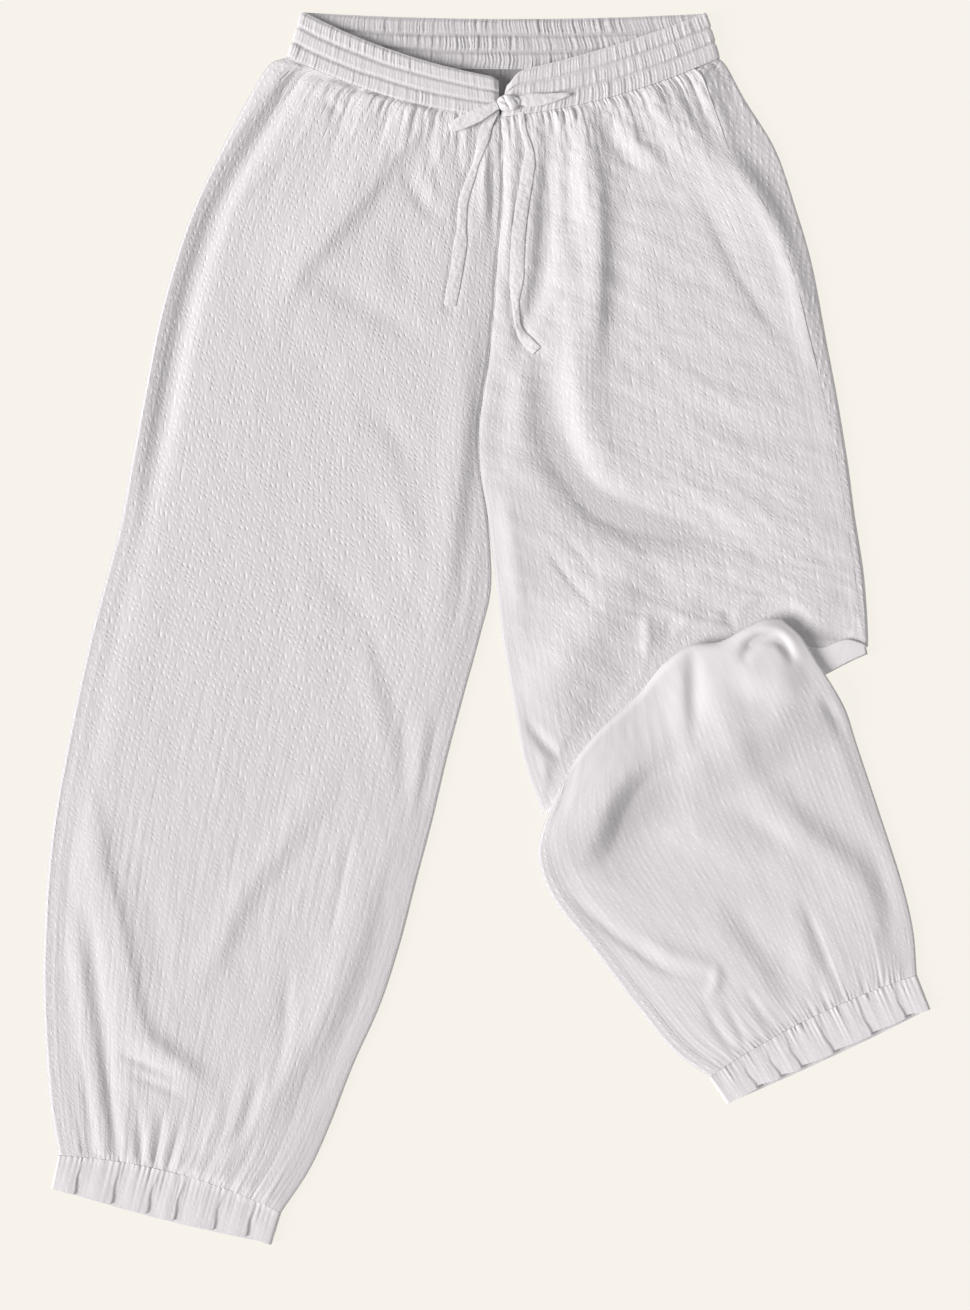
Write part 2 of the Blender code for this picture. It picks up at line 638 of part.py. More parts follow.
def frill_wall(name, table, is_front, material):
    """Half of an ankle frill, whose waves open out from the elastic to the hem."""
    rows = Sections(table, FRILL_STEPS, SEAM_GAP if is_front else 2 * SEAM_GAP)
    gathers = FRILL_FRONT_GATHERS if is_front else FRILL_BACK_GATHERS
    w, angle, side = band_columns(rows, gathers, True, True)
    plan = rows.plan(w)
    upright = 1.0 if is_front else -1.0
    half = FRILL_LOFT / 2 - SEAM_GAP / 2
    height = FRILL_LOFT / 2 + upright * (SEAM_GAP / 2 + half * np.cos(angle))
    if is_front:
        opening = rows.at[:, None] / rows.length
        across = (w - w[:, :1]) / (w[:, -1:] - w[:, :1])
        uneven = FRILL_UNEVEN * np.sin((FRILL_WAVES + 1) * across)
        wave = 0.5 + 0.5 * np.cos(2 * math.pi * (FRILL_WAVES * across + uneven))
        height = height + FRILL_RISE * wave * (0.25 + 0.75 * opening) * np.cos(angle) ** 2
    sideways = rows.along[:, None] * (side * np.sin(angle))[..., None]
    normal = np.concatenate([sideways, upright * np.cos(angle)[..., None]], axis=-1)
    return offset_wall(name, plan, height, normal, CLOTH, material)


def fold_line():
    return np.array([(k.x, k.y) for k in KNEE_FOLD], float)


def shin_base(plan):
    """Height of the shin's underside: on the knee fold, then down a ramp to the surface."""
    line = fold_line()
    start, run = line[0], line[-1] - line[0]
    run = run / np.linalg.norm(run)
    past = run[1] * (plan[..., 0] - start[0]) - run[0] * (plan[..., 1] - start[1])
    return SHIN_REST * (1 - smoothstep((past - KNEE_NOSE - SHIN_RAMP_SETBACK) / SHIN_RAMP))


def below_shin(plan):
    """The most that the thigh's cloth may rise, where the folded shin lies on it or near it."""
    cover = smooth_line(KNEE_COVER, COVER_POINTS)
    gap, side, _ = distance_to_line(plan[..., 0], plan[..., 1], cover)
    outside = np.where(side > 0, gap, 0)
    return EDGE_LOFT + CAP_RISE * smoothstep((outside - CAP_MARGIN) / CAP_FADE)


def knee_fold(material):
    """The layers turned back at the knee, as one rounded solid with a groove between them at its rims."""
    table = np.array(KNEE_FOLD, float)
    reach = np.append(0, np.cumsum(np.linalg.norm(np.diff(table[:, :2], axis=0), axis=1)))
    rows = smooth(np.linspace(0, reach[-1], KNEE_RINGS), reach, table)
    rings = []
    for x, y, back_x, back_y, height in rows:
        edges = {"front": np.array([x, y]), "back": np.array([back_x, back_y])}
        edges["middle"] = (edges["front"] + edges["back"]) / 2
        out = edges["front"] - edges["back"]
        out /= np.linalg.norm(out)
        ring = []
        for corner in KNEE_OUTLINE:
            thick = (KNEE_TOP - KNEE_FLOOR) * height if corner.level > 0 else KNEE_FLOOR
            ring.append((*(edges[corner.edge] + out * corner.out), KNEE_FLOOR + corner.level * thick))
        rings.append(ring)
    rings = np.array(rings)
    count, around = rings.shape[:2]
    faces = []
    for r in range(count - 1):
        for c in range(around):
            d = (c + 1) % around
            p, q, s, t = r * around + c, r * around + d, (r + 1) * around + d, (r + 1) * around + c
            faces += [(p, q, s), (p, s, t)]
    for end in (0, count - 1):
        cap = tessellate_polygon([[Vector(point) for point in rings[end]]])
        faces += [tuple(end * around + k for k in triangle) for triangle in cap]
    mesh = bpy.data.meshes.new("knee_fold_left")
    mesh.from_pydata((rings.reshape(-1, 3) * MM).tolist(), [], faces)
    mesh.materials.append(material)
    node = bpy.data.objects.new("knee_fold_left", mesh)
    bpy.context.scene.collection.objects.link(node)
    outward(mesh)
    return node


def outward(mesh):
    """Turns every face of a closed mesh to point out."""
    shape = bmesh.new()
    shape.from_mesh(mesh)
    bmesh.ops.recalc_face_normals(shape, faces=shape.faces)
    shape.to_mesh(mesh)
    shape.free()


def surface_below(nodes):
    """A function that gives the height of the cloth already laid at a place."""
    trees = []
    for node in nodes:
        mesh = node.data
        corners = [tuple(face.vertices) for face in mesh.polygons]
        trees.append(BVHTree.FromPolygons([v.co for v in mesh.vertices], corners))

    def height(x, y):
        hits = [tree.ray_cast(Vector((x * MM, y * MM, 1.0)), Vector((0, 0, -1)))[0] for tree in trees]
        return max([hit.z / MM for hit in hits if hit is not None], default=0.0)

    return height


def frame_along(line):
    """Heading and across directions in plan at each point of a line."""
    heading = np.gradient(line, axis=0)
    heading /= np.linalg.norm(heading, axis=1)[:, None]
    return heading, np.stack([heading[:, 1], -heading[:, 0]], axis=1)


def tape_tail(name, route, below, material, turned_end=False):
    """A flat tail of the drawstring, laid over whatever is under its whole width."""
    line = smooth_line(route, TAIL_POINTS)
    heading, across = frame_along(line)
    half = TAPE_WIDTH / 2
    lift = []
    for spot, side in zip(line, across):
        reach = [spot + side * half * share for share in (-1.1, -0.6, 0, 0.6, 1.1)]
        lift.append(max(below(*place) for place in reach) + TAPE_CLEARANCE)
    lift = np.array(lift)
    lift = np.maximum(lift, np.maximum(np.roll(lift, 1), np.roll(lift, -1)))
    ease = np.convolve(np.pad(lift, 2, mode="edge"), np.ones(5) / 5, mode="valid")
    lift = np.maximum(lift, ease)
    edges = np.stack([line - across * half, line, line + across * half], axis=1)
    lower = np.concatenate([edges, np.repeat(lift[:, None, None], 3, axis=1)], axis=-1)
    upper = lower + np.array([0, 0, TAPE_CLOTH])
    upper[:, 1, 2] += TAPE_CROWN
    if turned_end:
        upper[-TURNED_END_POINTS:, :, 2] += TURNED_END_RISE
    return build_wall(name, upper, lower, material)


def tape_loop(name, route, below, material):
    """One loop of the bow: the tape runs out, turns at the tip and comes back on top of itself."""
    out = smooth_line(route, LOOP_POINTS)
    turn = np.linspace(0, math.pi, LOOP_TURN_POINTS + 2)[1:-1]
    heading, across = frame_along(out)
    beside = (-TAPE_WIDTH / 2, 0, TAPE_WIDTH / 2)
    beneath = [spot + side * k for spot, side in zip(out, across) for k in beside]
    rest = max(below(*place) for place in beneath) + LOOP_CLEARANCE
    share = np.linspace(0, 1, LOOP_POINTS)
    half = TAPE_WIDTH / 2 * np.interp(share, (0, 0.4, 1), (LOOP_ROOT_WIDTH, 1, LOOP_TIP_WIDTH))
    bulge = LOOP_SPREAD / 2 * np.interp(share, (0, 0.4, 1), (LOOP_ROOT_SPREAD, 1, LOOP_TIP_SPREAD))
    centre = rest + LOOP_SPREAD / 2
    steps = range(LOOP_POINTS)
    path = [(out[k], centre - bulge[k], half[k], across[k], (0, 0, -1)) for k in steps]
    for angle in turn:
        spot = out[-1] + heading[-1] * bulge[-1] * math.sin(angle)
        normal = (*(heading[-1] * math.sin(angle)), -math.cos(angle))
        path.append((spot, centre - bulge[-1] * math.cos(angle), half[-1], across[-1], normal))
    path += [(out[k], centre + bulge[k], half[k], across[k], (0, 0, 1)) for k in reversed(steps)]
    outer = np.array([[(*(s + a * h * k), z) for k in (-1, 0, 1)] for s, z, h, a, _ in path])
    normals = np.array([[n] * 3 for *_, n in path], float)
    return build_wall(name, outer, outer - LOOP_CLOTH * normals, material)


def knot(below, material):
    """The tied knot, a squashed ball with two wraps of tape standing on it."""
    x, y = KNOT_CENTRE
    wide, deep, tall = KNOT_SIZE
    beneath = [(x + wide / 2 * dx, y + deep / 2 * dy) for dx in (-1, 0, 1) for dy in (-1, 0, 1)]
    rest = max(below(*place) for place in beneath) + KNOT_CLEARANCE
    around, levels = KNOT_AROUND, KNOT_LEVELS
    points = [(x, y, rest)]
    for level in range(1, levels):
        up = math.pi * level / levels
        for k in range(around):
            turn = 2 * math.pi * k / around
            wrap = 1 + KNOT_WRAP_RISE * math.sin(KNOT_WRAPS * turn + up)
            reach = wrap * math.sin(up) ** KNOT_SQUARENESS
            px = x + wide / 2 * reach * math.cos(turn)
            py = y + deep / 2 * reach * math.sin(turn)
            points.append((px, py, rest + tall * (1 - math.cos(up)) / 2))
    points.append((x, y, rest + tall))
    faces = []
    last = len(points) - 1
    for k in range(around):
        d = (k + 1) % around
        faces.append((0, 1 + d, 1 + k))
        faces.append((last, last - around + k, last - around + d))
        for level in range(levels - 2):
            p = 1 + level * around
            faces += [(p + k, p + d, p + around + d), (p + k, p + around + d, p + around + k)]
    mesh = bpy.data.meshes.new("drawstring_knot")
    mesh.from_pydata((np.array(points) * MM).tolist(), [], faces)
    mesh.materials.append(material)
    mesh.shade_smooth()
    node = bpy.data.objects.new("drawstring_knot", mesh)
    bpy.context.scene.collection.objects.link(node)
    outward(mesh)
    return node


def build_right_leg():
    front = Sections(RIGHT_LEG, HIP_STEPS + CALF_STEPS, SEAM_GAP)
    back = Sections([BACK_WAIST_RIGHT, *RIGHT_LEG[1:]], HIP_STEPS + CALF_STEPS, SEAM_GAP)
    folds = THIGH_FOLDS + CALF_FOLDS
    cloth = cotton("right_leg_cotton", COTTON, 0.85)
    return [
        top_wall("front_right", front, LEG_COLUMNS, folds, cloth, False, WAIST_GATHER_RISE,
                 ANKLE_GATHER_RISE),
        bottom_wall("back_right", back, front, BACK_COLUMNS, folds, cloth, False),
    ]


def build_left_thigh():
    front = Sections(LEFT_LEG, HIP_STEPS + THIGH_STEPS, SEAM_GAP)
    back = Sections([BACK_WAIST_LEFT, *LEFT_LEG[1:]], HIP_STEPS + THIGH_STEPS, SEAM_GAP)
    cloth = cotton("left_leg_cotton", COTTON, 0.85)
    return [
        top_wall("front_left", front, LEG_COLUMNS, THIGH_FOLDS, cloth, True, WAIST_GATHER_RISE, 0.0,
                 cap=below_shin),
        bottom_wall("back_left", back, front, BACK_COLUMNS, THIGH_FOLDS, cloth, True),
    ]


def build_left_shin():
    cloth = cotton("left_shin_cotton", COTTON, 0.85)
    top = Sections(LEFT_SHIN, SHIN_STEPS, 0, SHIN_EDGE, SHIN_BOW_REACH, SHIN_ROLL)
    back = Sections(LEFT_SHIN, SHIN_STEPS, SHIN_BACK_SETBACK, SHIN_EDGE, SHIN_BOW_REACH)
    return [
        knee_fold(cotton("knee_fold_cotton", COTTON, 0.85)),
        top_wall("shin_front_left", top, SHIN_COLUMNS, SHIN_FOLDS, cloth, False, 0.0, ANKLE_GATHER_RISE,
                 base=shin_base, rolled=True),
        bottom_wall("shin_back_left", back, back, SHIN_BACK_COLUMNS, SHIN_FOLDS, cloth, False,
                    gathered=False, base=shin_base),
    ]


def build_waistband():
    band = cotton("waistband_cotton", COTTON, 0.85)
    return [
        band_wall("waistband_front_right", BAND_FRONT_RIGHT, BAND_FRONT_GATHERS, (True, False), True, band),
        band_wall("waistband_front_left", BAND_FRONT_LEFT, BAND_FRONT_GATHERS, (False, True), True, band),
        band_wall("waistband_back", BAND_BACK, BAND_BACK_GATHERS, (True, True), False, band),
    ]


def build_frills():
    frill = cotton("frill_cotton", COTTON, 0.85)
    nodes = []
    for side, table in (("right", FRILL_RIGHT), ("left", FRILL_LEFT)):
        nodes.append(frill_wall(f"frill_front_{side}", table, True, frill))
        nodes.append(frill_wall(f"frill_back_{side}", table, False, frill))
    return nodes


def build_drawstring(laid):
    """Knot and tails lie on the band and the legs, and the bow's loops lie over the tails."""
    tape = cotton("tape_cotton", TAPE_COTTON, 0.75)
    below = surface_below(laid)
    knot(below, tape)
    tails = [
        tape_tail("drawstring_tail_right", TAIL_RIGHT_SIDE, below, tape),
        tape_tail("drawstring_tail_left", TAIL_LEFT_SIDE, below, tape, turned_end=True),
    ]
    below_loops = surface_below(laid + tails)
    tape_loop("drawstring_loop_right", LOOP_RIGHT_SIDE, below_loops, tape)
    tape_loop("drawstring_loop_left", LOOP_LEFT_SIDE, below_loops, tape)


def main():
    clear_scene()
    laid = build_right_leg() + build_left_thigh() + build_waistband()
    build_left_shin()
    build_frills()
    build_drawstring(laid)


main()
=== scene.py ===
import math
from collections import namedtuple

import bmesh
import bpy
import numpy as np
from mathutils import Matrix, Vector
from mathutils.bvhtree import BVHTree
from mathutils.geometry import tessellate_polygon


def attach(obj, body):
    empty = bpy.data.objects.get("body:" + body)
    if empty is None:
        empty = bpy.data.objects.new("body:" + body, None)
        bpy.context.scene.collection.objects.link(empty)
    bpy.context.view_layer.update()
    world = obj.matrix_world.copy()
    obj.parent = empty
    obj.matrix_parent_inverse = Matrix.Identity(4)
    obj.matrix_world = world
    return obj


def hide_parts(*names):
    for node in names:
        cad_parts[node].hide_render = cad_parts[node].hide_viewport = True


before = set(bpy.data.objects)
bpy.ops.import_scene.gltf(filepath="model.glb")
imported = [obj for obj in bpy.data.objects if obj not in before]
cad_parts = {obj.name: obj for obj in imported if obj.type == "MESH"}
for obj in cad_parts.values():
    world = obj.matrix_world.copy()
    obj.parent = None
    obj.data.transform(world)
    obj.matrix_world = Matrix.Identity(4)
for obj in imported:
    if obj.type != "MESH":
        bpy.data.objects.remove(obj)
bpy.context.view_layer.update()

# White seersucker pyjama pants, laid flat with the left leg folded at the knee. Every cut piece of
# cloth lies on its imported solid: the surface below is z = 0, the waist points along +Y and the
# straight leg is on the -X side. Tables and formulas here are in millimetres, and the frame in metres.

MM = 0.001
BODY = "root"

# Thicknesses and gaps
CLOTH = 1.3
BAND_CLOTH = 2.2
SEAM_GAP = 0.2

# Height of the cloth as it lies
EDGE_RADIUS = 2.8
EDGE_LOFT = 5.6
CROWN_LOFT = 8.8
CROWN_REACH = 26.0
SIDE_CALM = 16.0
FLAT_LOFT = 3.4
BAND_LOFT = 7.4
WAIST_ARCH = 6.0
ARCH_REACH = 42.0

# Mesh spacing
BACK_ACROSS = 2.6
BACK_ALONG = 3.6
RIGHT_ALONG = 2.1
LEFT_ALONG = 1.9
SHIN_ALONG = 1.8
BAND_ACROSS = 0.6
BAND_ALONG = 0.8
FRILL_ACROSS = 0.8
FRILL_ALONG = 1.0
CURL_STEPS = 8
WRAP_STEPS = 12
STRIP_SPACING = 1.5
INSIDE_STEP = 4
KNOT_AROUND = 96
KNOT_LEVELS = 44

# Closer rows of a back panel, down to a distance below the waist and at a spacing
WAIST_ROWS = (48, 1.6)

# Cloth that bends by more degrees than this, or tape, shows a hard edge
CLOTH_EDGE = 62
TAPE_EDGE = 50

# Gathers: how many, how high, and how far they run out of the edge
WAIST_GATHERS = (44, 2.9, 24)
WAIST_INSIDE_GATHERS = (46, 2.6, 14)
WAIST_BACK_GATHERS = (44, 2.3, 22)
ANKLE_GATHERS = (34, 1.6, 24)
SHIN_ANKLE_GATHERS = (34, 1.3, 20)
FRONT_CREASES = 66
BACK_CREASES = 118

# Seersucker
STRIPE = 5.0
PUCKER_TURNS = 0.77
PUCKER_SLANT = 0.5
STRIPE_TURN = 0.618
PUCKER_RISE = 0.34
STRIPE_RISE = 0.06
PUCKER_SWAYS = ((0.37, 2.1, 0.45), (1.3, 4.7, 0.24), (0.83, 5.3, 0.3))
RIB_RISE = 0.4

# Knee fold
KNEE_FLOOR = 6.1
KNEE_TOP = 10.5
KNEE_NOSE = 4.0
KNEE_NOSE_SETBACK = 0.5
SHIN_REST = 11.1
SHIN_RAMP = 48.0
SHIN_RAMP_SETBACK = 9.0
SHIN_ROLL = 7.0
SHIN_BOW_REACH = 120.0
SHIN_BACK_SETBACK = 11.0
CAP_MARGIN = 5.0
CAP_FADE = 45.0
CAP_RISE = 14.0

# Stitches: where the lines of them lie below the upper edge of a band or frill, and their sizes
CHANNEL_SEAMS = (12.9, 25.8)
ANKLE_SEAM = (1.6,)
STITCH_LINE_STEP = 0.8
STITCH_SUNK = 0.07
STITCH_SIZES = {"Pitch": 3.2, "Length": 2.1, "Thickness": 0.32}

# Drawstring
TAPE_WIDTH = 9.0
TAPE_CLOTH = 0.65
TAPE_PRESS = 6.8
TAPE_PRESS_REACH = 14.0
KNOT_CENTRE = (18.0, 428.0)
KNOT_SIZE = (19.0, 13.5, 4.6)

# A tape's outline, across it in half widths and upwards in thicknesses
TAPE_SHAPE = (
    (-1, -0.3), (-0.96, 0.1), (-0.82, 0.4), (-0.55, 0.6), (-0.2, 0.7), (0.15, 0.7), (0.4, 0.6), (0.7, 0.3),
    (0.94, -0.1), (1, -0.32), (0.92, -0.4), (0, -0.35), (-0.92, -0.4),
)

# Camera: straight down, at the distance that frames this much of the surface
VIEW_CENTRE = (-1.2, -22.1)
VIEW_HEIGHT = 1074.2
CAMERA_LENS = 85.0
SENSOR = 36.0

# Light: from a window on the left, with its spread in degrees, and from the room all round
LIGHT_COLOUR = (1, 0.957, 0.965)
ROOM_STRENGTH = 0.31
WINDOW_STRENGTH = 3.0
WINDOW_SPREAD = 32
WINDOW_HEADING = (0.86, 0.25, -0.6)

# The floor, in metres
FLOOR_SIZE = 9.0
FLOOR_DEPTH = 0.0005
FLOOR_GLOW = 0.945


def table_of(kind, *rows):
    """A table whose rows are all of one kind."""
    return [kind(*row) for row in rows]


# One section across a panel or band: its two ends, how far it bows down between them, how far the side
# seam lies from the edge, and how far the other side closes round, from 0 to 1.
Section = namedtuple("Section", "ax ay bx by bow seam curl")

RIGHT_LEG = table_of(
    Section,
    (-163, 468, 11, 417, 9, 17, 0),
    (-178, 462, 12, 409, 8, 17, 0),
    (-192, 441, 13, 384, 5, 14, 0),
    (-218, 392, 13, 343, 2, 9, 0),
    (-241, 343, 9, 306, 0, 7, 0),
    (-258, 294, 6, 258, 0, 7, 0),
    (-271, 244, 0, 208, 0, 7, 0),
    (-282, 187, -6, 167, 0, 7, 0),
    (-292, 134, -5, 130, 0, 7, 0.4),
    (-301, 85, 1, 90, 0, 7, 1),
    (-313, 39, 4, 35, 0, 7, 1),
    (-324, -2, -5, -6, 0, 7, 1),
    (-335, -51, -19, -57, 0, 7, 1),
    (-345, -100, -32, -106, 0, 7, 1),
    (-354, -149, -44, -157, 0, 7, 1),
    (-360, -198, -58, -210, 0, 7, 1),
    (-363, -248, -71, -260, 0, 7, 1),
    (-364, -297, -87, -309, 0, 7, 1),
    (-362, -346, -109, -358, 0, 7, 1),
    (-358, -391, -128, -407, -4, 7, 1),
    (-355, -412, -145, -444, -8, 7, 1),
    (-351, -432, -168, -479, -10, 7, 1),
)

LEFT_LEG = table_of(
    Section,
    (11, 417, 191, 467, 8, 22, 0),
    (12, 409, 198, 459, 8, 23, 0),
    (13, 384, 212, 433, 4, 27, 0),
    (13, 343, 237, 392, 1, 36, 0),
    (9, 306, 254, 343, 0, 24, 0),
    (6, 258, 267, 298, 0, 18, 0),
    (0, 208, 278, 240, 0, 14, 0),
    (-6, 167, 288, 187, 0, 11, 0),
    (-5, 130, 296, 138, 0, 9, 0.4),
    (1, 90, 302, 93, 0, 8, 1),
    (8, 35, 309, 48, 0, 8, 1),
    (13, -10, 312, 15, 0, 7, 1),
    (22, -62, 313, -6, 0, 7, 1),
    (30, -107, 313, -11, 0, 7, 1),
    (45, -151, 313, -15, 0, 7, 1),
)

LEFT_SHIN = table_of(
    Section,
    (63, -120, 241, 7, 0, 11, 1),
    (57, -137, 257, -7, 0, 11, 1),
    (51, -151, 269, -26, 0, 11, 1),
    (45, -166, 282, -46, 0, 11, 1),
    (42, -188, 295, -69, 0, 11, 1),
    (54, -222, 305, -99, 0, 11, 1),
    (89, -266, 322, -150, 0, 11, 1),
    (124, -312, 341, -209, 0, 11, 1),
    (152, -346, 350, -248, -4, 11, 1),
    (182, -368, 353, -284, -7, 11, 1),
)

BAND_FRONT_RIGHT = table_of(
    Section,
    (-151, 505, 8, 450, 7, 0, 0),
    (-163, 468, 11, 417, 9, 0, 0),
)
BAND_FRONT_LEFT = table_of(
    Section,
    (20, 454, 180, 504, 4, 0, 0),
    (11, 417, 191, 467, 8, 0, 0),
)
BAND_BACK = table_of(
    Section,
    (-151, 505, 180, 504, 5, 0, 1),
    (-163, 468, 191, 467, 8.4, 0, 1),
)
BACK_WAIST_RIGHT = Section(-163, 468, 13, 459, 2, 17, 0)
BACK_WAIST_LEFT = Section(13, 459, 191, 467, 2, 22, 0)

FRILL_RIGHT = table_of(
    Section,
    (-351, -432, -168, -479, -10, 0, 1),
    (-357, -459, -176, -505, 3, 0, 1),
)
FRILL_LEFT = table_of(
    Section,
    (182, -368, 353, -284, -7, 0, 1),
    (197, -390, 364, -312, 2, 0, 1),
)

SHIN_EDGE = [
    (63, -120), (89, -87), (126, -52), (146, -28), (167, -14), (191, -11), (214, 1), (229, 7), (241, 7),
]
KNEE_COVER = [(50, -151), (57, -143), *SHIN_EDGE, (257, -7), (272, -11), (298, -4), (320, -10)]

KneeSection = namedtuple("KneeSection", "x y back_x back_y height")
KNEE_FOLD = table_of(
    KneeSection,
    (47, -151, 52, -147, 0.45),
    (58, -145, 62, -136, 0.9),
    (90, -129, 82, -101, 1),
    (130, -109, 116, -66, 1),
    (170, -88, 152, -35, 1),
    (210, -68, 196, -20, 0.85),
    (245, -50, 238, -6, 0.6),
    (275, -35, 272, -16, 0.45),
    (298, -23, 297, -9, 0.4),
    (311, -17, 310, -13, 0.3),
)

KneeOutline = namedtuple("KneeOutline", "edge out level")
KNEE_OUTLINE = table_of(
    KneeOutline,
    ("back", 1.6, 0),
    ("back", 0.2, 0.15),
    ("back", 0.2, 0.33),
    ("back", 1.3, 0.5),
    ("back", 0.2, 0.67),
    ("back", 0.2, 0.85),
    ("back", 1.6, 1),
    ("middle", 0, 1),
    ("front", -1.0, 1),
    ("front", 0.68 * KNEE_NOSE, 0.8),
    ("front", 1.03 * KNEE_NOSE, 0.75),
    ("front", 0.73 * KNEE_NOSE, 0.4),
    ("front", 1.13 * KNEE_NOSE, 0),
    ("front", 0.93 * KNEE_NOSE, -0.65),
    ("front", 0.63 * KNEE_NOSE, -1),
    ("front", KNEE_NOSE_SETBACK, -1),
    ("front", KNEE_NOSE_SETBACK, -0.03),
    ("front", -KNEE_NOSE_SETBACK, 0),
)

# A fold is a soft ridge, or a trough where its rise is negative. lean makes one side steeper.
Fold = namedtuple("Fold", "rise width lean path")

RIGHT_THIGH_FOLDS = table_of(
    Fold,
    (4.2, 19, -0.5, [(-32, 443), (-51, 417), (-73, 390), (-97, 359), (-123, 328), (-150, 297),
        (-166, 271), (-181, 243)]),
    (1.1, 12, -0.4, [(-102, 446), (-138, 417), (-178, 379), (-215, 341), (-238, 310)]),
    (-1.4, 12, 0, [(-153, 300), (-128, 279), (-102, 266), (-69, 246), (-38, 230)]),
    (-1.3, 6, 0, [(-64, 379), (-59, 358), (-46, 341), (-33, 333)]),
    (0.8, 6, 0, [(-53, 384), (-46, 361), (-33, 346)]),
    (-1.3, 4, 0, [(-73, 436), (-82, 413), (-92, 395)]),
    (-1.2, 4, 0, [(-53, 430), (-58, 415), (-68, 392)]),
    (-2.0, 4.5, 0, [(-133, 433), (-126, 426), (-117, 423)]),
    (-1.6, 4, 0, [(-115, 456), (-109, 446), (-99, 438)]),
    (2.7, 13, -0.25, [(-17, 285), (-15, 236), (-17, 187), (-20, 146), (-25, 101), (-31, 56),
        (-35, 15), (-40, -43)]),
    (-1.0, 8, 0, [(-2, 203), (-5, 162), (-7, 121), (-12, 72)]),
    (0.8, 6, 0, [(-4, 89), (-10, 48), (-17, 7), (-27, -43)]),
    (-1.2, 11, 0, [(-107, 190), (-86, 170), (-68, 148), (-58, 118)]),
    (1.2, 13, 0, [(-91, 133), (-74, 104), (-59, 59), (-56, 18)]),
    (-0.9, 9, 0, [(-68, 328), (-71, 300), (-68, 277)]),
    (-0.7, 11, 0, [(-145, 56), (-120, 31), (-102, 13), (-94, -26)]),
    (-1.3, 3.5, 0, [(5, 410), (5, 359), (5, 304)]),
    (1.5, 4.5, 0, [(-1, 413), (-1, 363), (-2, 314)]),
    (-1.2, 5, 0, [(-20, 417), (-23, 392), (-19, 363)]),
    (-0.8, 16, 0, [(-128, 228), (-143, 203), (-156, 187)]),
    (0.9, 10, -0.3, [(-77, 394), (-99, 371), (-123, 348)]),
)

LEFT_THIGH_FOLDS = table_of(
    Fold,
    (-5.0, 8, 0.1, [(50, 440), (50, 408), (50, 367), (48, 326), (44, 285), (31, 244), (24, 203)]),
    (1.8, 5, 0, [(20, 413), (21, 363), (18, 314), (16, 277)]),
    (1.3, 6, 0, [(82, 423), (80, 384), (80, 335), (78, 298)]),
    (-1.3, 5, 0, [(67, 423), (66, 384), (67, 343), (68, 310)]),
    (3.5, 15, 0.2, [(68, 335), (71, 285), (73, 232), (78, 187), (87, 150), (103, 123), (126, 105)]),
    (4.6, 10, -0.2, [(77, 441), (83, 408), (89, 367), (92, 326), (92, 285), (90, 244), (86, 195)]),
    (-1.6, 14, 0, [(111, 392), (113, 351), (111, 302), (108, 253), (103, 212)]),
    (-6.8, 17, 0.0, [(46, 244), (48, 203), (54, 162), (70, 128), (96, 103), (129, 87), (170, 75),
        (219, 64)]),
    (-3.4, 11, 0, [(60, 116), (85, 101), (114, 89), (149, 83), (185, 80), (221, 74)]),
    (2.2, 13, 0, [(85, 56), (126, 56), (175, 59), (224, 51)]),
    (-1.2, 7, 0, [(118, 118), (146, 105), (179, 93), (216, 74)]),
    (4.8, 18, -0.1, [(111, 453), (134, 435), (157, 417), (183, 388), (208, 359), (229, 331),
        (249, 300)]),
    (-2.2, 10, 0, [(146, 454), (174, 423), (198, 392), (218, 359)]),
    (-1.7, 8, 0.2, [(167, 364), (185, 333), (206, 292), (234, 249), (257, 220)]),
    (-2.8, 7, 0, [(95, 428), (103, 400), (119, 380), (136, 371)]),
    (2.2, 7, 0, [(108, 428), (119, 402), (136, 385), (157, 374)]),
    (-1.3, 5, 0, [(108, 354), (134, 351), (167, 348)]),
    (-1.2, 10, 0, [(167, 171), (208, 157), (249, 153), (282, 148)]),
    (1.2, 10, 0, [(134, 210), (175, 194), (224, 183), (273, 175)]),
    (-0.9, 9, 0, [(118, 244), (159, 226), (208, 218), (257, 205)]),
    (-0.9, 7, 0, [(126, 300), (167, 284), (208, 269)]),
    (-1.2, 4, 0.3, [(46, 72), (60, 49), (80, 26), (96, 10)]),
    (-0.8, 4, 0, [(60, 80), (80, 56), (98, 31)]),
    (-1.2, 9, 0, [(121, 77), (134, 56), (149, 36), (159, 23)]),
    (-1.7, 12, 0, [(11, 228), (17, 187), (10, 154), (3, 113)]),
    (1.9, 12, 0, [(23, 228), (29, 194), (23, 154)]),
    (2.0, 16, 0, [(11, 130), (16, 72), (23, -10)]),
    (-1.2, 13, 0, [(167, 26), (200, 15), (234, 10)]),
    (-3.0, 17, 0, [(60, -72), (87, -54), (111, -30), (126, -3)]),
    (-2.6, 5, 0, [(18, -59), (32, -77), (45, -92), (58, -105), (72, -123)]),
    (-2.6, 12, 0, [(62, -105), (87, -77), (113, -49), (134, -26), (149, -10)]),
    (-1.2, 16, 0, [(159, 23), (178, 13), (200, 7), (229, 5)]),
    (5.0, 22, 0, [(128, 51), (100, 18), (72, -15), (49, -48), (37, -72)]),
    (1.8, 5, 0, [(131, 18), (132, -7), (139, -33)]),
    (-2.0, 8, 0, [(154, 13), (149, -7), (144, -26)]),
    (-4.2, 8, 0, [(232, -11), (252, -7), (277, -6), (300, -8), (318, -11)]),
    (0.6, 14, 0, [(224, 31), (257, 26), (298, 21)]),
    (-2.0, 6, 0, [(193, 16), (201, 3), (210, -10)]),
)

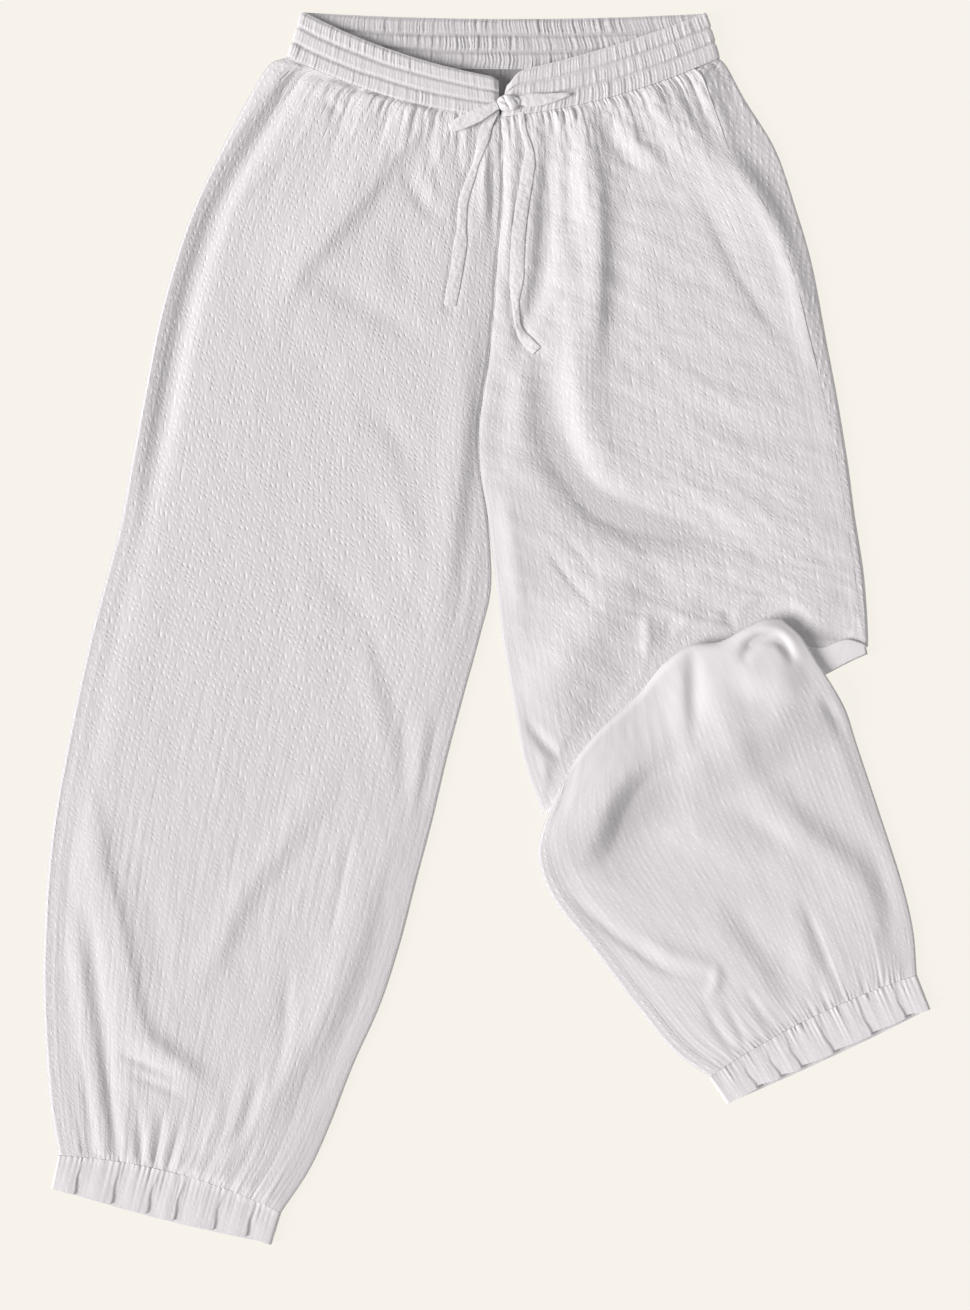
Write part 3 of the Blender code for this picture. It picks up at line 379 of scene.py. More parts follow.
CALF_FOLDS = table_of(
    Fold,
    (2.6, 14, -0.45, [(-332, -92), (-325, -137), (-318, -166), (-314, -194), (-306, -223),
        (-299, -252), (-293, -280), (-289, -309), (-278, -335), (-255, -354), (-230, -374), (-215, -395)]),
    (-0.8, 10, 0, [(-299, -141), (-284, -190), (-273, -239), (-263, -289), (-250, -321)]),
    (1.8, 11, -0.1, [(-117, -100), (-143, -141), (-171, -180), (-199, -218), (-217, -257),
        (-237, -294), (-248, -321)]),
    (-1.0, 12, 0.3, [(-107, -118), (-133, -161), (-163, -200), (-194, -239), (-210, -276),
        (-230, -308)]),
    (2.6, 15, -0.1, [(-74, -141), (-91, -198), (-105, -252), (-116, -280), (-128, -309),
        (-146, -338), (-167, -367), (-182, -395), (-202, -424), (-217, -453), (-228, -477)]),
    (-1.2, 14, 0, [(-77, -223), (-89, -264), (-105, -305), (-123, -342), (-141, -375), (-164, -408),
        (-184, -440)]),
    (-1.2, 6, 0, [(-164, -272), (-165, -330), (-171, -362), (-181, -391)]),
    (-2.0, 7, 0, [(-330, -207), (-324, -256), (-318, -305), (-310, -354), (-303, -395), (-299, -431)]),
    (1.4, 8, 0, [(-340, -223), (-335, -264), (-328, -313), (-319, -371)]),
    (-1.2, 4, 0, [(-335, -338), (-328, -379), (-323, -420), (-320, -469)]),
    (-2.1, 4.5, 0, [(-317, -330), (-310, -375), (-304, -420), (-301, -469)]),
    (1.9, 10, 0, [(-302, -335), (-276, -341), (-248, -358), (-225, -380)]),
    (-1.5, 4, 0, [(-305, -346), (-282, -356), (-255, -367)]),
    (-1.2, 4, 0, [(-299, -361), (-274, -372), (-243, -385)]),
    (-1.6, 4, 0, [(-287, -379), (-284, -412), (-282, -440), (-281, -473)]),
    (-1.8, 4, 0, [(-264, -387), (-268, -416), (-272, -444), (-278, -477)]),
    (-1.6, 4, 0, [(-248, -395), (-254, -420), (-260, -444), (-269, -481)]),
    (1.6, 7, 0, [(-184, -346), (-196, -375), (-202, -399), (-212, -428), (-227, -465)]),
    (-1.7, 6, 0, [(-182, -358), (-192, -387), (-202, -412), (-219, -432), (-243, -449)]),
    (1.2, 7, 0, [(-217, -379), (-222, -407), (-238, -430)]),
    (-0.8, 9, 0, [(-94, 7), (-86, -26), (-76, -67), (-79, -110)]),
    (0.8, 9, 0, [(-102, -10), (-92, -59), (-84, -92), (-74, -118)]),
    (-0.9, 5, 0, [(-65, -51), (-68, -100), (-68, -149)]),
    (0.8, 5, 0, [(-50, -51), (-55, -108), (-63, -166)]),
    (-0.8, 4, 0, [(-38, -59), (-46, -112), (-56, -166)]),
    (-0.8, 5, 0, [(-112, -157), (-118, -207), (-130, -256)]),
    (-0.5, 9, 0, [(-76, -182), (-84, -231), (-99, -272)]),
)

SHIN_FOLDS = table_of(
    Fold,
    (3.6, 17, -0.3, [(159, -100), (136, -103), (116, -115), (101, -134), (91, -158), (78, -184),
        (65, -204)]),
    (-5.8, 24, 0.5, [(177, -112), (150, -118), (130, -131), (116, -154), (105, -180), (90, -210)]),
    (1.5, 9, -0.3, [(159, -10), (159, -43), (161, -75), (165, -108)]),
    (-1.6, 7, 0, [(169, -7), (169, -34), (169, -59), (169, -92)]),
    (1.7, 14, 0, [(180, -16), (188, -56), (201, -93), (221, -128), (244, -149)]),
    (-1.0, 12, 0, [(188, -20), (206, -46), (221, -69), (231, -92)]),
    (2.0, 16, 0, [(185, -30), (214, -41), (249, -46), (270, -39)]),
    (-1.5, 14, 0, [(216, -56), (249, -61), (278, -62)]),
    (2.6, 16, -0.2, [(211, -116), (229, -136), (254, -162), (280, -182), (306, -205), (323, -233),
        (329, -272)]),
    (-2.2, 17, 0.2, [(237, -113), (255, -138), (280, -162), (305, -182), (326, -207), (336, -239),
        (336, -280)]),
    (-0.9, 7, 0, [(306, -190), (321, -213), (328, -243), (330, -272)]),
    (1.2, 16, 0, [(126, -151), (175, -171), (224, -187), (273, -203)]),
    (-1.0, 10, 0, [(167, -141), (204, -151), (232, -167), (257, -194)]),
    (1.1, 12, 0, [(273, -59), (298, -110), (319, -157), (331, -190)]),
    (-3.0, 6, 0, [(272, -51), (287, -72), (301, -95)]),
    (1.5, 4.5, 0, [(201, -20), (211, -5), (226, 0), (242, 0), (255, -11), (264, -26), (272, -46)]),
    (-5.0, 4.6, 0, [(206, -30), (214, -16), (225, -9), (237, -9), (247, -20), (251, -33)]),
    (1.2, 15, 0, [(234, -18), (246, -46), (259, -72), (275, -108)]),
    (-1.6, 6, 0.3, [(60, -207), (87, -236), (116, -259), (146, -279), (178, -289)]),
    (1.6, 7, 0, [(126, -253), (155, -269), (180, -276), (193, -285)]),
    (1.6, 5, 0, [(187, -272), (188, -289), (180, -305)]),
    (-0.8, 9, 0, [(188, -215), (211, -249), (234, -277), (251, -308), (257, -335)]),
    (1.3, 15, -0.2, [(175, -216), (195, -253), (219, -284), (241, -317)]),
    (-0.9, 10, 0, [(193, -210), (218, -246), (242, -274), (257, -308)]),
    (-1.2, 5, 0, [(254, -215), (269, -248), (280, -277), (290, -305)]),
    (0.9, 8, 0, [(244, -215), (257, -251), (270, -289)]),
    (-0.9, 4, 0, [(191, -297), (206, -328), (221, -361)]),
    (-0.9, 4, 0, [(205, -284), (226, -318), (249, -346)]),
    (-0.8, 4, 0, [(172, -297), (191, -331), (214, -366)]),
    (-1.0, 4, 0, [(301, -297), (311, -315), (319, -330)]),
    (-1.0, 4, 0, [(280, -305), (287, -325), (293, -341)]),
    (1.2, 16, 0, [(60, -141), (57, -174), (72, -203)]),
    (-0.8, 9, 0, [(60, -207), (85, -248), (114, -292), (142, -330)]),
)

# How the tapes of the drawstring lie: the line that each takes, and how wide it is along that line, as
# pairs of a place from 0 to 1 and a share of the tape's width. A tape twists where it is narrow.
Tape = namedtuple("Tape", "name seed route widths")
TAILS = table_of(
    Tape,
    ("tail_right", 201,
        [(7, 423), (1, 412), (-4, 394), (-11, 373), (-18, 352), (-21, 318), (-24, 296), (-30, 264)],
        [(0, 0.9), (0.14, 1.15), (0.27, 0.55), (0.36, 0.8), (0.6, 0.85), (0.68, 1.2), (1, 1.2)]),
    ("tail_left", 211,
        [(28, 421), (30, 408), (35, 390), (33, 368), (29, 344), (26, 318), (25, 292), (24, 264), (28, 242),
            (41, 227)],
        [(0, 0.55), (0.13, 0.6), (0.22, 1.2), (0.7, 1.3), (0.78, 0.6), (0.88, 0.55), (0.93, 1), (1, 1)]),
)
LOOPS = table_of(
    Tape,
    ("loop_right", 221, [(9, 426), (-7, 418), (-29, 408)], [(0, 0.7), (0.4, 1.25), (0.8, 1.2), (1, 0.8)]),
    ("loop_left", 231, [(27, 430), (46, 431), (67, 435)], [(0, 0.8), (0.25, 1.25), (0.7, 0.8), (1, 0.3)]),
)

# The frill of each ankle: where its pleats begin and end across it, how far each one laps over the next,
# and how much its front hem is drawn up.
Frill = namedtuple("Frill", "side table pleats lap_rise hem_lift seed")
FRILLS = table_of(
    Frill,
    ("right", FRILL_RIGHT, (0, 0.11, 0.28, 0.44, 0.56, 0.74, 0.886, 1), 1.9, 3.4, 161),
    ("left", FRILL_LEFT, (0, 0.157, 0.27, 0.37, 0.53, 0.72, 0.887, 1), 1.2, 4.4, 171),
)

# The cut of each piece of cloth: its greatest width and length and its flat area, before it is gathered
Cut = namedtuple("Cut", "width length area held rests_on")


def smooth(at, known, values):
    """Values read at new places on a smooth curve through the known ones."""
    known = np.asarray(known, float)
    values = np.asarray(values, float)
    slope = np.gradient(values, known, axis=0)
    cell = np.clip(np.searchsorted(known, at, side="right") - 1, 0, len(known) - 2)
    step = (known[cell + 1] - known[cell])[:, None]
    t = (np.asarray(at) - known[cell])[:, None] / step
    start = (2 * t**3 - 3 * t**2 + 1) * values[cell] + (t**3 - 2 * t**2 + t) * slope[cell] * step
    end = (3 * t**2 - 2 * t**3) * values[cell + 1] + (t**3 - t**2) * slope[cell + 1] * step
    return start + end


def reach_along(points):
    """How far along a line each of its points lies."""
    return np.append(0, np.cumsum(np.linalg.norm(np.diff(points, axis=0), axis=1)))


def smooth_line(points, count):
    """A smooth line through a few points, as evenly spaced ones."""
    points = np.asarray(points, float)
    reach = reach_along(points)
    return smooth(np.linspace(0, reach[-1], count), reach, points)


def smoothstep(value):
    value = np.clip(value, 0, 1)
    return value * value * (3 - 2 * value)


def bell(value):
    """1 where the value is 0, falling softly towards 0 on both sides of it."""
    return np.exp(-(value**2))


def uneven(x, y, cell, seed):
    """Soft random values from -1 to 1 that change over about one cell."""
    grid = np.random.default_rng(seed).uniform(-1, 1, (64, 64))
    x, y = np.broadcast_arrays(x / cell, y / cell)
    left, low = np.floor(x).astype(int), np.floor(y).astype(int)
    u, v = smoothstep(x - left), smoothstep(y - low)
    corner = [[grid[(left + i) % 64, (low + j) % 64] for j in (0, 1)] for i in (0, 1)]
    lower = corner[0][0] * (1 - u) + corner[1][0] * u
    upper = corner[0][1] * (1 - u) + corner[1][1] * u
    return lower * (1 - v) + upper * v


def close_to(plan, line, margin):
    """Which points lie in the box round a line, with a margin."""
    return ((plan > line.min(0) - margin) & (plan < line.max(0) + margin)).all(-1)


def distance_to_line(plan, line):
    """Distance from points to a line, the side they are on, and how far along it they are."""
    start, step = line[:-1], np.diff(line, axis=0)
    from_start = plan[..., None, :] - start
    along = np.clip((from_start * step).sum(-1) / (step * step).sum(-1), 0, 1)
    offset = from_start - along[..., None] * step
    gap = np.hypot(offset[..., 0], offset[..., 1])
    side = np.sign(step[:, 0] * from_start[..., 1] - step[:, 1] * from_start[..., 0])
    nearest = gap.argmin(-1)[..., None]
    gap, side, along = (np.take_along_axis(values, nearest, -1)[..., 0] for values in (gap, side, along))
    return gap, side, (along + nearest[..., 0]) / len(step)


def fold_relief(folds, plan):
    """Height that a table of folds adds at each point. Each one fades out towards both its ends."""
    total = np.zeros(plan.shape[:-1])
    for fold in folds:
        line = smooth_line(fold.path, 20)
        near = close_to(plan, line, 3.5 * fold.width)
        if near.any():
            gap, side, share = distance_to_line(plan[near], line)
            width = fold.width * (1 + fold.lean * side)
            ends = smoothstep(share / 0.4) * smoothstep((1 - share) / 0.4)
            total[near] += fold.rise * bell(gap / width) * ends**0.8
    return total


def soften_above(height, lowest, bend=0.5):
    """Heights kept above a lowest one, bending softly where they come near it."""
    return lowest + bend * np.logaddexp(0, (height - lowest) / bend)


def soften_below(height, highest, bend=0.25):
    return highest - bend * np.logaddexp(0, (highest - height) / bend)


def pleats(place, count, seed, sharp=0.7):
    """Rounded pleats with creases between them: their height from 0 to 1, and how far each one runs."""
    random = np.random.default_rng(seed)
    edges = np.linspace(0, 1, count + 1)
    edges[1:-1] += random.uniform(-0.34, 0.34, count - 1) / count
    tall, long = random.uniform(0.3, 1, count), random.uniform(0.4, 1.6, count)
    number = np.clip(np.searchsorted(edges, place, side="right") - 1, 0, count - 1)
    inside = np.clip((place - edges[number]) / (edges[number + 1] - edges[number]), 0, 1)
    return tall[number] * np.sin(math.pi * inside) ** sharp, long[number]


def pucker_turn(inside, stripe, along, sine):
    """How many slanting puckers lie below a place, for arrays or for a material's values."""
    turn = along * PUCKER_TURNS - inside * PUCKER_SLANT + stripe * STRIPE_TURN
    for pace, step, reach in PUCKER_SWAYS:
        turn = turn + sine(along * pace + stripe * step) * reach
    return turn


def seersucker_relief(across, along, puff, look):
    """Height of the puckers, and of the long ribs that stand out where the cloth is drawn straight.

    Both places count stripes."""
    stripe = np.floor(across + 1e-6)
    inside = across - stripe
    lane = np.sin(math.pi * inside) ** 2
    crest = (0.5 + 0.5 * np.sin(2 * math.pi * pucker_turn(inside, stripe, along, np.sin))) ** 2
    strength = puff * (0.75 + 0.25 * uneven(across, along, 7.0, look.seed + 9))
    strength = strength * np.clip(0.7 + 0.9 * uneven(across, along, 1.7, look.seed + 11), 0.1, 1.25)
    ribs = look.ribs * uneven(stripe * 26.0, along, 26.0, look.seed + 10) * (0.25 + 1.5 * (1 - puff) * puff)
    return lane * (STRIPE_RISE * puff + PUCKER_RISE * strength * crest + RIB_RISE * ribs)


class Sections:
    """A table of sections read at an even spacing between its rows."""

    def __init__(self, table, spacing, start=0.0, edge=None, edge_reach=1.0, roll=0.0, dense=None):
        middle = np.array([((s.ax + s.bx) / 2, (s.ay + s.by) / 2) for s in table], float)
        self.reach = reach_along(middle)
        self.length = self.reach[-1]
        first, close = start + roll, []
        if dense:
            close = np.arange(first, *dense)
            first = dense[0]
        count = max(1, round((self.length - first) / spacing))
        self.at = np.append(close, np.linspace(first, self.length, count + 1))
        if roll:
            turned = np.linspace(1, 0, CURL_STEPS + 1)[:-1]
            self.at = np.append(start + roll * (1 - np.sin(turned * math.pi / 2)), self.at)
        self.edge = None if edge is None else smooth_line(edge, 90)
        self.edge_reach = edge_reach
        self.read(table, self.reach)

    def read(self, table, reach):
        """Take each column of a table whose rows lie at the given distances."""
        numbers = np.arange(len(table))
        columns = smooth(np.interp(self.at, reach, numbers), numbers, np.array(table, float))
        self.a, self.b = columns[:, 0:2], columns[:, 2:4]
        self.bow, self.seam = columns[:, 4], columns[:, 5]
        self.curl = np.clip(columns[:, 6], 0, 1)
        run = self.b - self.a
        self.width = np.linalg.norm(run, axis=1)
        self.along = run / self.width[:, None]
        self.down = np.stack([self.along[:, 1], -self.along[:, 0]], axis=1)

    def plan(self, w):
        """Points on the surface below, at distance w from side a in each section."""
        share = w / self.width[:, None]
        hang = self.bow[:, None] * 4 * share * (1 - share)
        point = self.a[:, None] + self.along[:, None] * w[..., None] + self.down[:, None] * hang[..., None]
        if self.edge is None:
            return point
        share = np.clip(share, 0, 1)
        numbers = np.arange(len(self.edge))
        on_edge = [np.interp(share * numbers[-1], numbers, self.edge[:, k]) for k in (0, 1)]
        chord = self.edge[0] + (self.edge[-1] - self.edge[0]) * share[..., None]
        fade = 1 - smoothstep(self.at / self.edge_reach)
        return point + (np.stack(on_edge, axis=-1) - chord) * fade[:, None, None]

    def facing(self, sideways, up):
        """Directions out of the cloth, from their parts along the section and upwards."""
        return lifted(self.along[:, None] * sideways[..., None], up)


def lifted(plan, height):
    """Points or directions in space, from those in plan and their heights."""
    return np.concatenate([plan, height[..., None]], axis=-1)


def turned_columns(rows, from_a, curl):
    """Columns of a side that closes round: distance from side a, and the angle turned so far."""
    turned = np.linspace(1, 1 / CURL_STEPS, CURL_STEPS)
    if not from_a:
        turned = turned[::-1]
    curl = curl[:, None]
    reach_in = 1 - ((1 - curl) * turned + curl * np.sin(turned * math.pi / 2))
    inset = SEAM_GAP / 8 + EDGE_RADIUS * reach_in
    w = inset if from_a else rows.width[:, None] - inset
    return w, turned * curl * math.pi / 2


def middle_columns(start, end, count):
    share = np.linspace(0, 1, count)
    return start[:, None] * (1 - share) + end[:, None] * share


def kept(count, step, near_start=0, near_end=0):
    """Every few numbers up to count, and all of those near either end."""
    numbers = {*range(0, count, step), *range(near_start), *range(count - near_end, count), 0, count - 1}
    return np.array(sorted(numbers))


def add_object(name, data):
    item = bpy.data.objects.new(name, data)
    bpy.context.scene.collection.objects.link(item)
    return item


def new_mesh(name, points, faces, material, sharp=180, recalculated=False):
    """A smooth mesh from points in millimetres, with a hard edge wherever it bends by more than sharp."""
    mesh = bpy.data.meshes.new(name)
    mesh.from_pydata((np.asarray(points) * MM).tolist(), [], faces)
    if recalculated:
        shape = bmesh.new()
        shape.from_mesh(mesh)
        bmesh.ops.recalc_face_normals(shape, faces=shape.faces)
        shape.to_mesh(mesh)
        shape.free()
    mesh.materials.append(material)
    mesh.shade_smooth()
    if sharp < 180:
        mesh.set_sharp_from_angle(angle=math.radians(sharp))
    return mesh


def ring_faces(count, around, first=0):
    """Faces between rings that follow each other, each of as many points."""
    faces = []
    for start in range(first, first + (count - 1) * around, around):
        for k in range(around):
            d = (k + 1) % around
            faces.append((start + k, start + d, start + around + d, start + around + k))
    return faces


def rim_faces(outer_line, inner_line, outer_keep):
    """Triangles between an edge of the outer side and the coarser edge of the inner one."""
    faces = []
    for k in range(len(inner_line) - 1):
        first, last = outer_keep[k], outer_keep[k + 1]
        half = (first + last) // 2
        for j in range(first, last):
            corner = inner_line[k] if j < half else inner_line[k + 1]
            faces.append((outer_line[j + 1], outer_line[j], corner))
        faces.append((inner_line[k], inner_line[k + 1], outer_line[half]))
    return faces


def cloth_piece(name, outer, inner, keep, place, material, puff, painted_shading=None, inside=None):
    """One closed piece of cloth: a fine outer side and an inner side that keeps fewer rows and columns.

    place is each outer point's place on the flat cloth, in stripes. puff says how strongly its puckers
    stand out there, from 0 where the cloth is stretched to 1, and painted_shading how much painted shade
    darkens it where it turns over at a side or lies deep in a crease, and how much painted light
    lightens it where it is below 0. inside is the material of the inner side."""
    rows, columns = outer.shape[:2]
    coarse_ones = np.ix_(*keep)
    inner = inner[coarse_ones]
    fine = np.arange(rows * columns).reshape(rows, columns)
    coarse = fine.size + np.arange(len(keep[0]) * len(keep[1])).reshape(inner.shape[:2])
    points = np.concatenate([outer.reshape(-1, 3), inner.reshape(-1, 3)])
    upper = np.stack([fine[:-1, :-1], fine[1:, :-1], fine[1:, 1:], fine[:-1, 1:]], axis=-1)
    lower = np.stack([coarse[:-1, :-1], coarse[:-1, 1:], coarse[1:, 1:], coarse[1:, :-1]], axis=-1)
    quads = np.concatenate([upper.reshape(-1, 4), lower.reshape(-1, 4)])
    rims = rim_faces(fine[0], coarse[0], keep[1]) + rim_faces(fine[:, -1], coarse[:, -1], keep[0])
    far_rims = rim_faces(fine[-1], coarse[-1], keep[1]) + rim_faces(fine[:, 0], coarse[:, 0], keep[0])
    rims = np.array(rims + [face[::-1] for face in far_rims])
    corners = points[np.concatenate([quads[:, [0, 1, 2]], quads[:, [0, 2, 3]], rims])]
    if np.einsum("ij,ij->i", corners[:, 0], np.cross(corners[:, 1], corners[:, 2])).sum() < 0:
        quads, rims = quads[:, ::-1], rims[:, ::-1]
    mesh = new_mesh(name, points, quads.tolist() + rims.tolist(), material, CLOTH_EDGE)
    place = np.concatenate([place.reshape(-1, 2), place[coarse_ones].reshape(-1, 2)])
    loops = np.zeros(len(mesh.loops), int)
    mesh.loops.foreach_get("vertex_index", loops)
    mesh.uv_layers.new(name="cloth").data.foreach_set("uv", place[loops].astype(np.float32).ravel())
    # The shading attribute is painted shade and painted light that the material adds to the colour.
    painted_shading = np.zeros_like(puff) if painted_shading is None else painted_shading
    for attribute, values in (("puff", puff), ("painted_shading", painted_shading)):
        store = mesh.attributes.new(attribute, "FLOAT", "POINT")
        store.data.foreach_set("value", np.append(values, values[coarse_ones]).astype(np.float32))
    if inside:
        mesh.materials.append(inside)
        sides = np.zeros(len(mesh.polygons), np.int32)
        sides[(rows - 1) * (columns - 1) : len(quads)] = 1
        mesh.polygons.foreach_set("material_index", sides)
    return add_object(name, mesh)


def declare(piece, slot, *nodes):
    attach(piece, BODY)
    if nodes:
        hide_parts(*nodes)
    return piece


def under_tails(plan):
    """Where the tails of the drawstring lie and press the cloth smooth, from 0 to 1."""
    pressed = np.zeros(plan.shape[:2])
    for tail in TAILS:
        line = smooth_line(tail.route, 24)
        near = close_to(plan, line, TAPE_PRESS_REACH)
        if near.any():
            gap = distance_to_line(plan[near], line)[0]
            pressed[near] = np.maximum(pressed[near], np.exp(-((gap / TAPE_PRESS) ** 4)))
    return pressed


def side_shade(at_a):
    """Painted shade where the cloth turns over at a side on the left, and painted light where it turns over
    on the right.
    """
    return 1.2 if at_a else -0.6


def crown(rows, w, curl_at_a):
    """Height of the cloth between its rounded sides, and how far its relief may show near them."""
    from_a = np.maximum(w - EDGE_RADIUS, 0)
    from_b = np.maximum(rows.width[:, None] - w - EDGE_RADIUS, 0)
    rise = (1 - np.exp(-from_a / CROWN_REACH)) * (1 - np.exp(-from_b / CROWN_REACH))
    near_curl, near_seam = (from_a, from_b) if curl_at_a else (from_b, from_a)
    curl = rows.curl[:, None]
    calm = 1 - curl + curl * smoothstep(near_curl / SIDE_CALM)
    calm = calm * (0.25 + 0.75 * smoothstep(near_seam / SIDE_CALM))
    return EDGE_LOFT + (CROWN_LOFT - EDGE_LOFT) * rise, calm


def gathers(share, distance, count, rise, reach, seed):
    """Pleats that run out of a gathered edge: many short ones, fewer longer ones."""
    total = np.zeros(np.broadcast_shapes(share.shape, distance.shape))
    for number, (part, height, length) in enumerate(((1, 0.8, 0.4), (0.5, 1.0, 0.9), (0.22, 0.7, 1.8))):
        tall, long = pleats(share, max(3, round(count * part)), seed + number, 0.6)
        fade = np.exp(-((distance / (reach * length * long)) ** 1.3))
        total += height * (tall - 0.45) * fade
    return rise * total


def crumple_relief(s, t, look):
    """Uneven bulges of the loose cloth, larger ones and smaller ones on them."""
    x, y = s / look.cell[0], (t - 0.35 * s) / look.cell[1]
    warp = 0.5 * uneven(x, y, 2.6, look.seed)
    large = uneven(x + warp, y + warp, 1.0, look.seed + 1)
    small = uneven(2.6 * x - warp, 2.8 * y + warp, 1.0, look.seed + 3)
    patch = 0.65 + 0.35 * uneven(s, t, 90, look.seed + 6)
    across, along, rise = look.grain
    fine = rise * uneven(s / across, (t - 0.25 * s + 3 * warp) / along, 1.0, look.seed + 8)
    return patch * (look.crumple * (large + 0.38 * small) + fine)


# How a panel's cloth lies: crumple is the height of its small bulges and cell their size. At its side
# seam it rises, or sinks where seam_rise is negative, fading out below seam_end. The seam itself is
# sewn in by tuck. ribs is how much the cloth's straight ribs show, and grain the size across and along
# and the height of its finest wrinkles.
Look = namedtuple("Look", "crumple cell seam_rise seam_in seam_end seed tuck ribs grain")
RIGHT_LOOK = Look(0.45, (30, 60), -4.0, 14, 390, 11, 0.3, 1, (6, 14, 0.16))
LEFT_LOOK = Look(0.7, (52, 17), 3.4, -1, 270, 51, 0.12, 0.6, (12, 5, 0.42))
SHIN_LOOK = Look(0.4, (26, 36), -0.6, 4, 400, 91, 0.05, 0.4, (6, 16, 0.1))


def seam_profile(look, from_seam, t):
    fade = 1 - 0.8 * smoothstep((t - look.seam_end * 0.7) / (look.seam_end * 0.3))
    trough = bell((from_seam - look.seam_in) / 9)
    if look.seam_rise < 0:
        trough = trough - 0.6 * bell((from_seam + 3) / 8)
    return look.seam_rise * fade * trough


def waist_arch(place):
    """How far the front of the waist stands up over the back, from one side of the waist to the other."""
    return WAIST_ARCH * np.sin(math.pi * np.clip(place, 0, 1)) ** 0.7


def front_columns(rows, each, curl_at_a):
    """Columns of a front panel, from the side seam to round the other side; each is how many a stripe has.

    Gives their distance from side a, the angle turned so far, and their place on the cloth in stripes."""
    curl_w, curl_angle = turned_columns(rows, curl_at_a, rows.curl)
    seam = rows.seam + SEAM_GAP / 4
    near = np.full_like(rows.width, SEAM_GAP / 2 + EDGE_RADIUS)
    start, end = (near, rows.width - seam) if curl_at_a else (seam, rows.width - near)
    middle = middle_columns(start, end, each * round(rows.width.max() / STRIPE) + 1)
    order = 1 if curl_at_a else -1
    w = np.hstack([curl_w, middle][::order])
    angle = np.hstack([curl_angle, np.zeros_like(middle)][::order])
    first = CURL_STEPS if curl_at_a else 0
    return w, angle, np.broadcast_to((np.arange(w.shape[1]) - first) / each, w.shape)


# Where the points of a panel lie: their share of the way across, how far down from the upper edge, and
# how much of the cloth's relief may show, near the sides and under the tails of the drawstring.
Places = namedtuple("Places", "share t calm loose")


def waist_height(height, at, gathered, look, curl_at_a, band_seed):
    """Height of a front near the waistband, where it is gathered, meets the band and is arched with it."""
    height = height + gathers(at.share, at.t, *gathered, look.seed + 2) * (0.4 + 0.6 * at.calm) * at.loose
    height += (BAND_LOFT + 0.2 - height) * bell(at.t / 3.5)
    height += 1.4 * (pleats(at.share + 0.001, FRONT_CREASES, band_seed, 0.4)[0] - 0.6) * bell(at.t / 8)
    return height + waist_arch((at.share + curl_at_a) / 2) * bell(at.t / ARCH_REACH)


def ankle_height(height, at, from_ankle, gathered, look):
    """Height of a front near the ankle, where the elastic gathers and crinkles it."""
    height = height + gathers(at.share, from_ankle, *gathered, look.seed + 5) * (0.3 + 0.7 * at.calm)
    height += 0.8 * (6.4 - height) * bell(from_ankle / 5)
    crinkles = pleats(at.share, 58, look.seed + 7, 0.5)[0] - 0.5
    return height + 1.1 * crinkles * bell(from_ankle / 8) * at.calm


def roll_edge(plan, lift, middle, normal, relief):
    """Turn the first rows of a panel down round its folded upper edge."""
    turned = np.zeros(len(plan))
    turned[:CURL_STEPS] = np.linspace(1, 0, CURL_STEPS + 1)[:-1] * math.pi / 2
    tangent = np.gradient(plan[0], axis=0)
    away = np.stack([-tangent[:, 1], tangent[:, 0]], axis=1)
    away /= np.linalg.norm(away, axis=1)[:, None]
    normal = normal * np.cos(turned)[:, None, None]
    normal[..., :2] += away[None] * np.sin(turned)[:, None, None]
    normal /= np.linalg.norm(normal, axis=-1)[..., None]
    return middle + (lift - middle) * np.cos(turned)[:, None], normal, relief * np.cos(turned)[:, None]


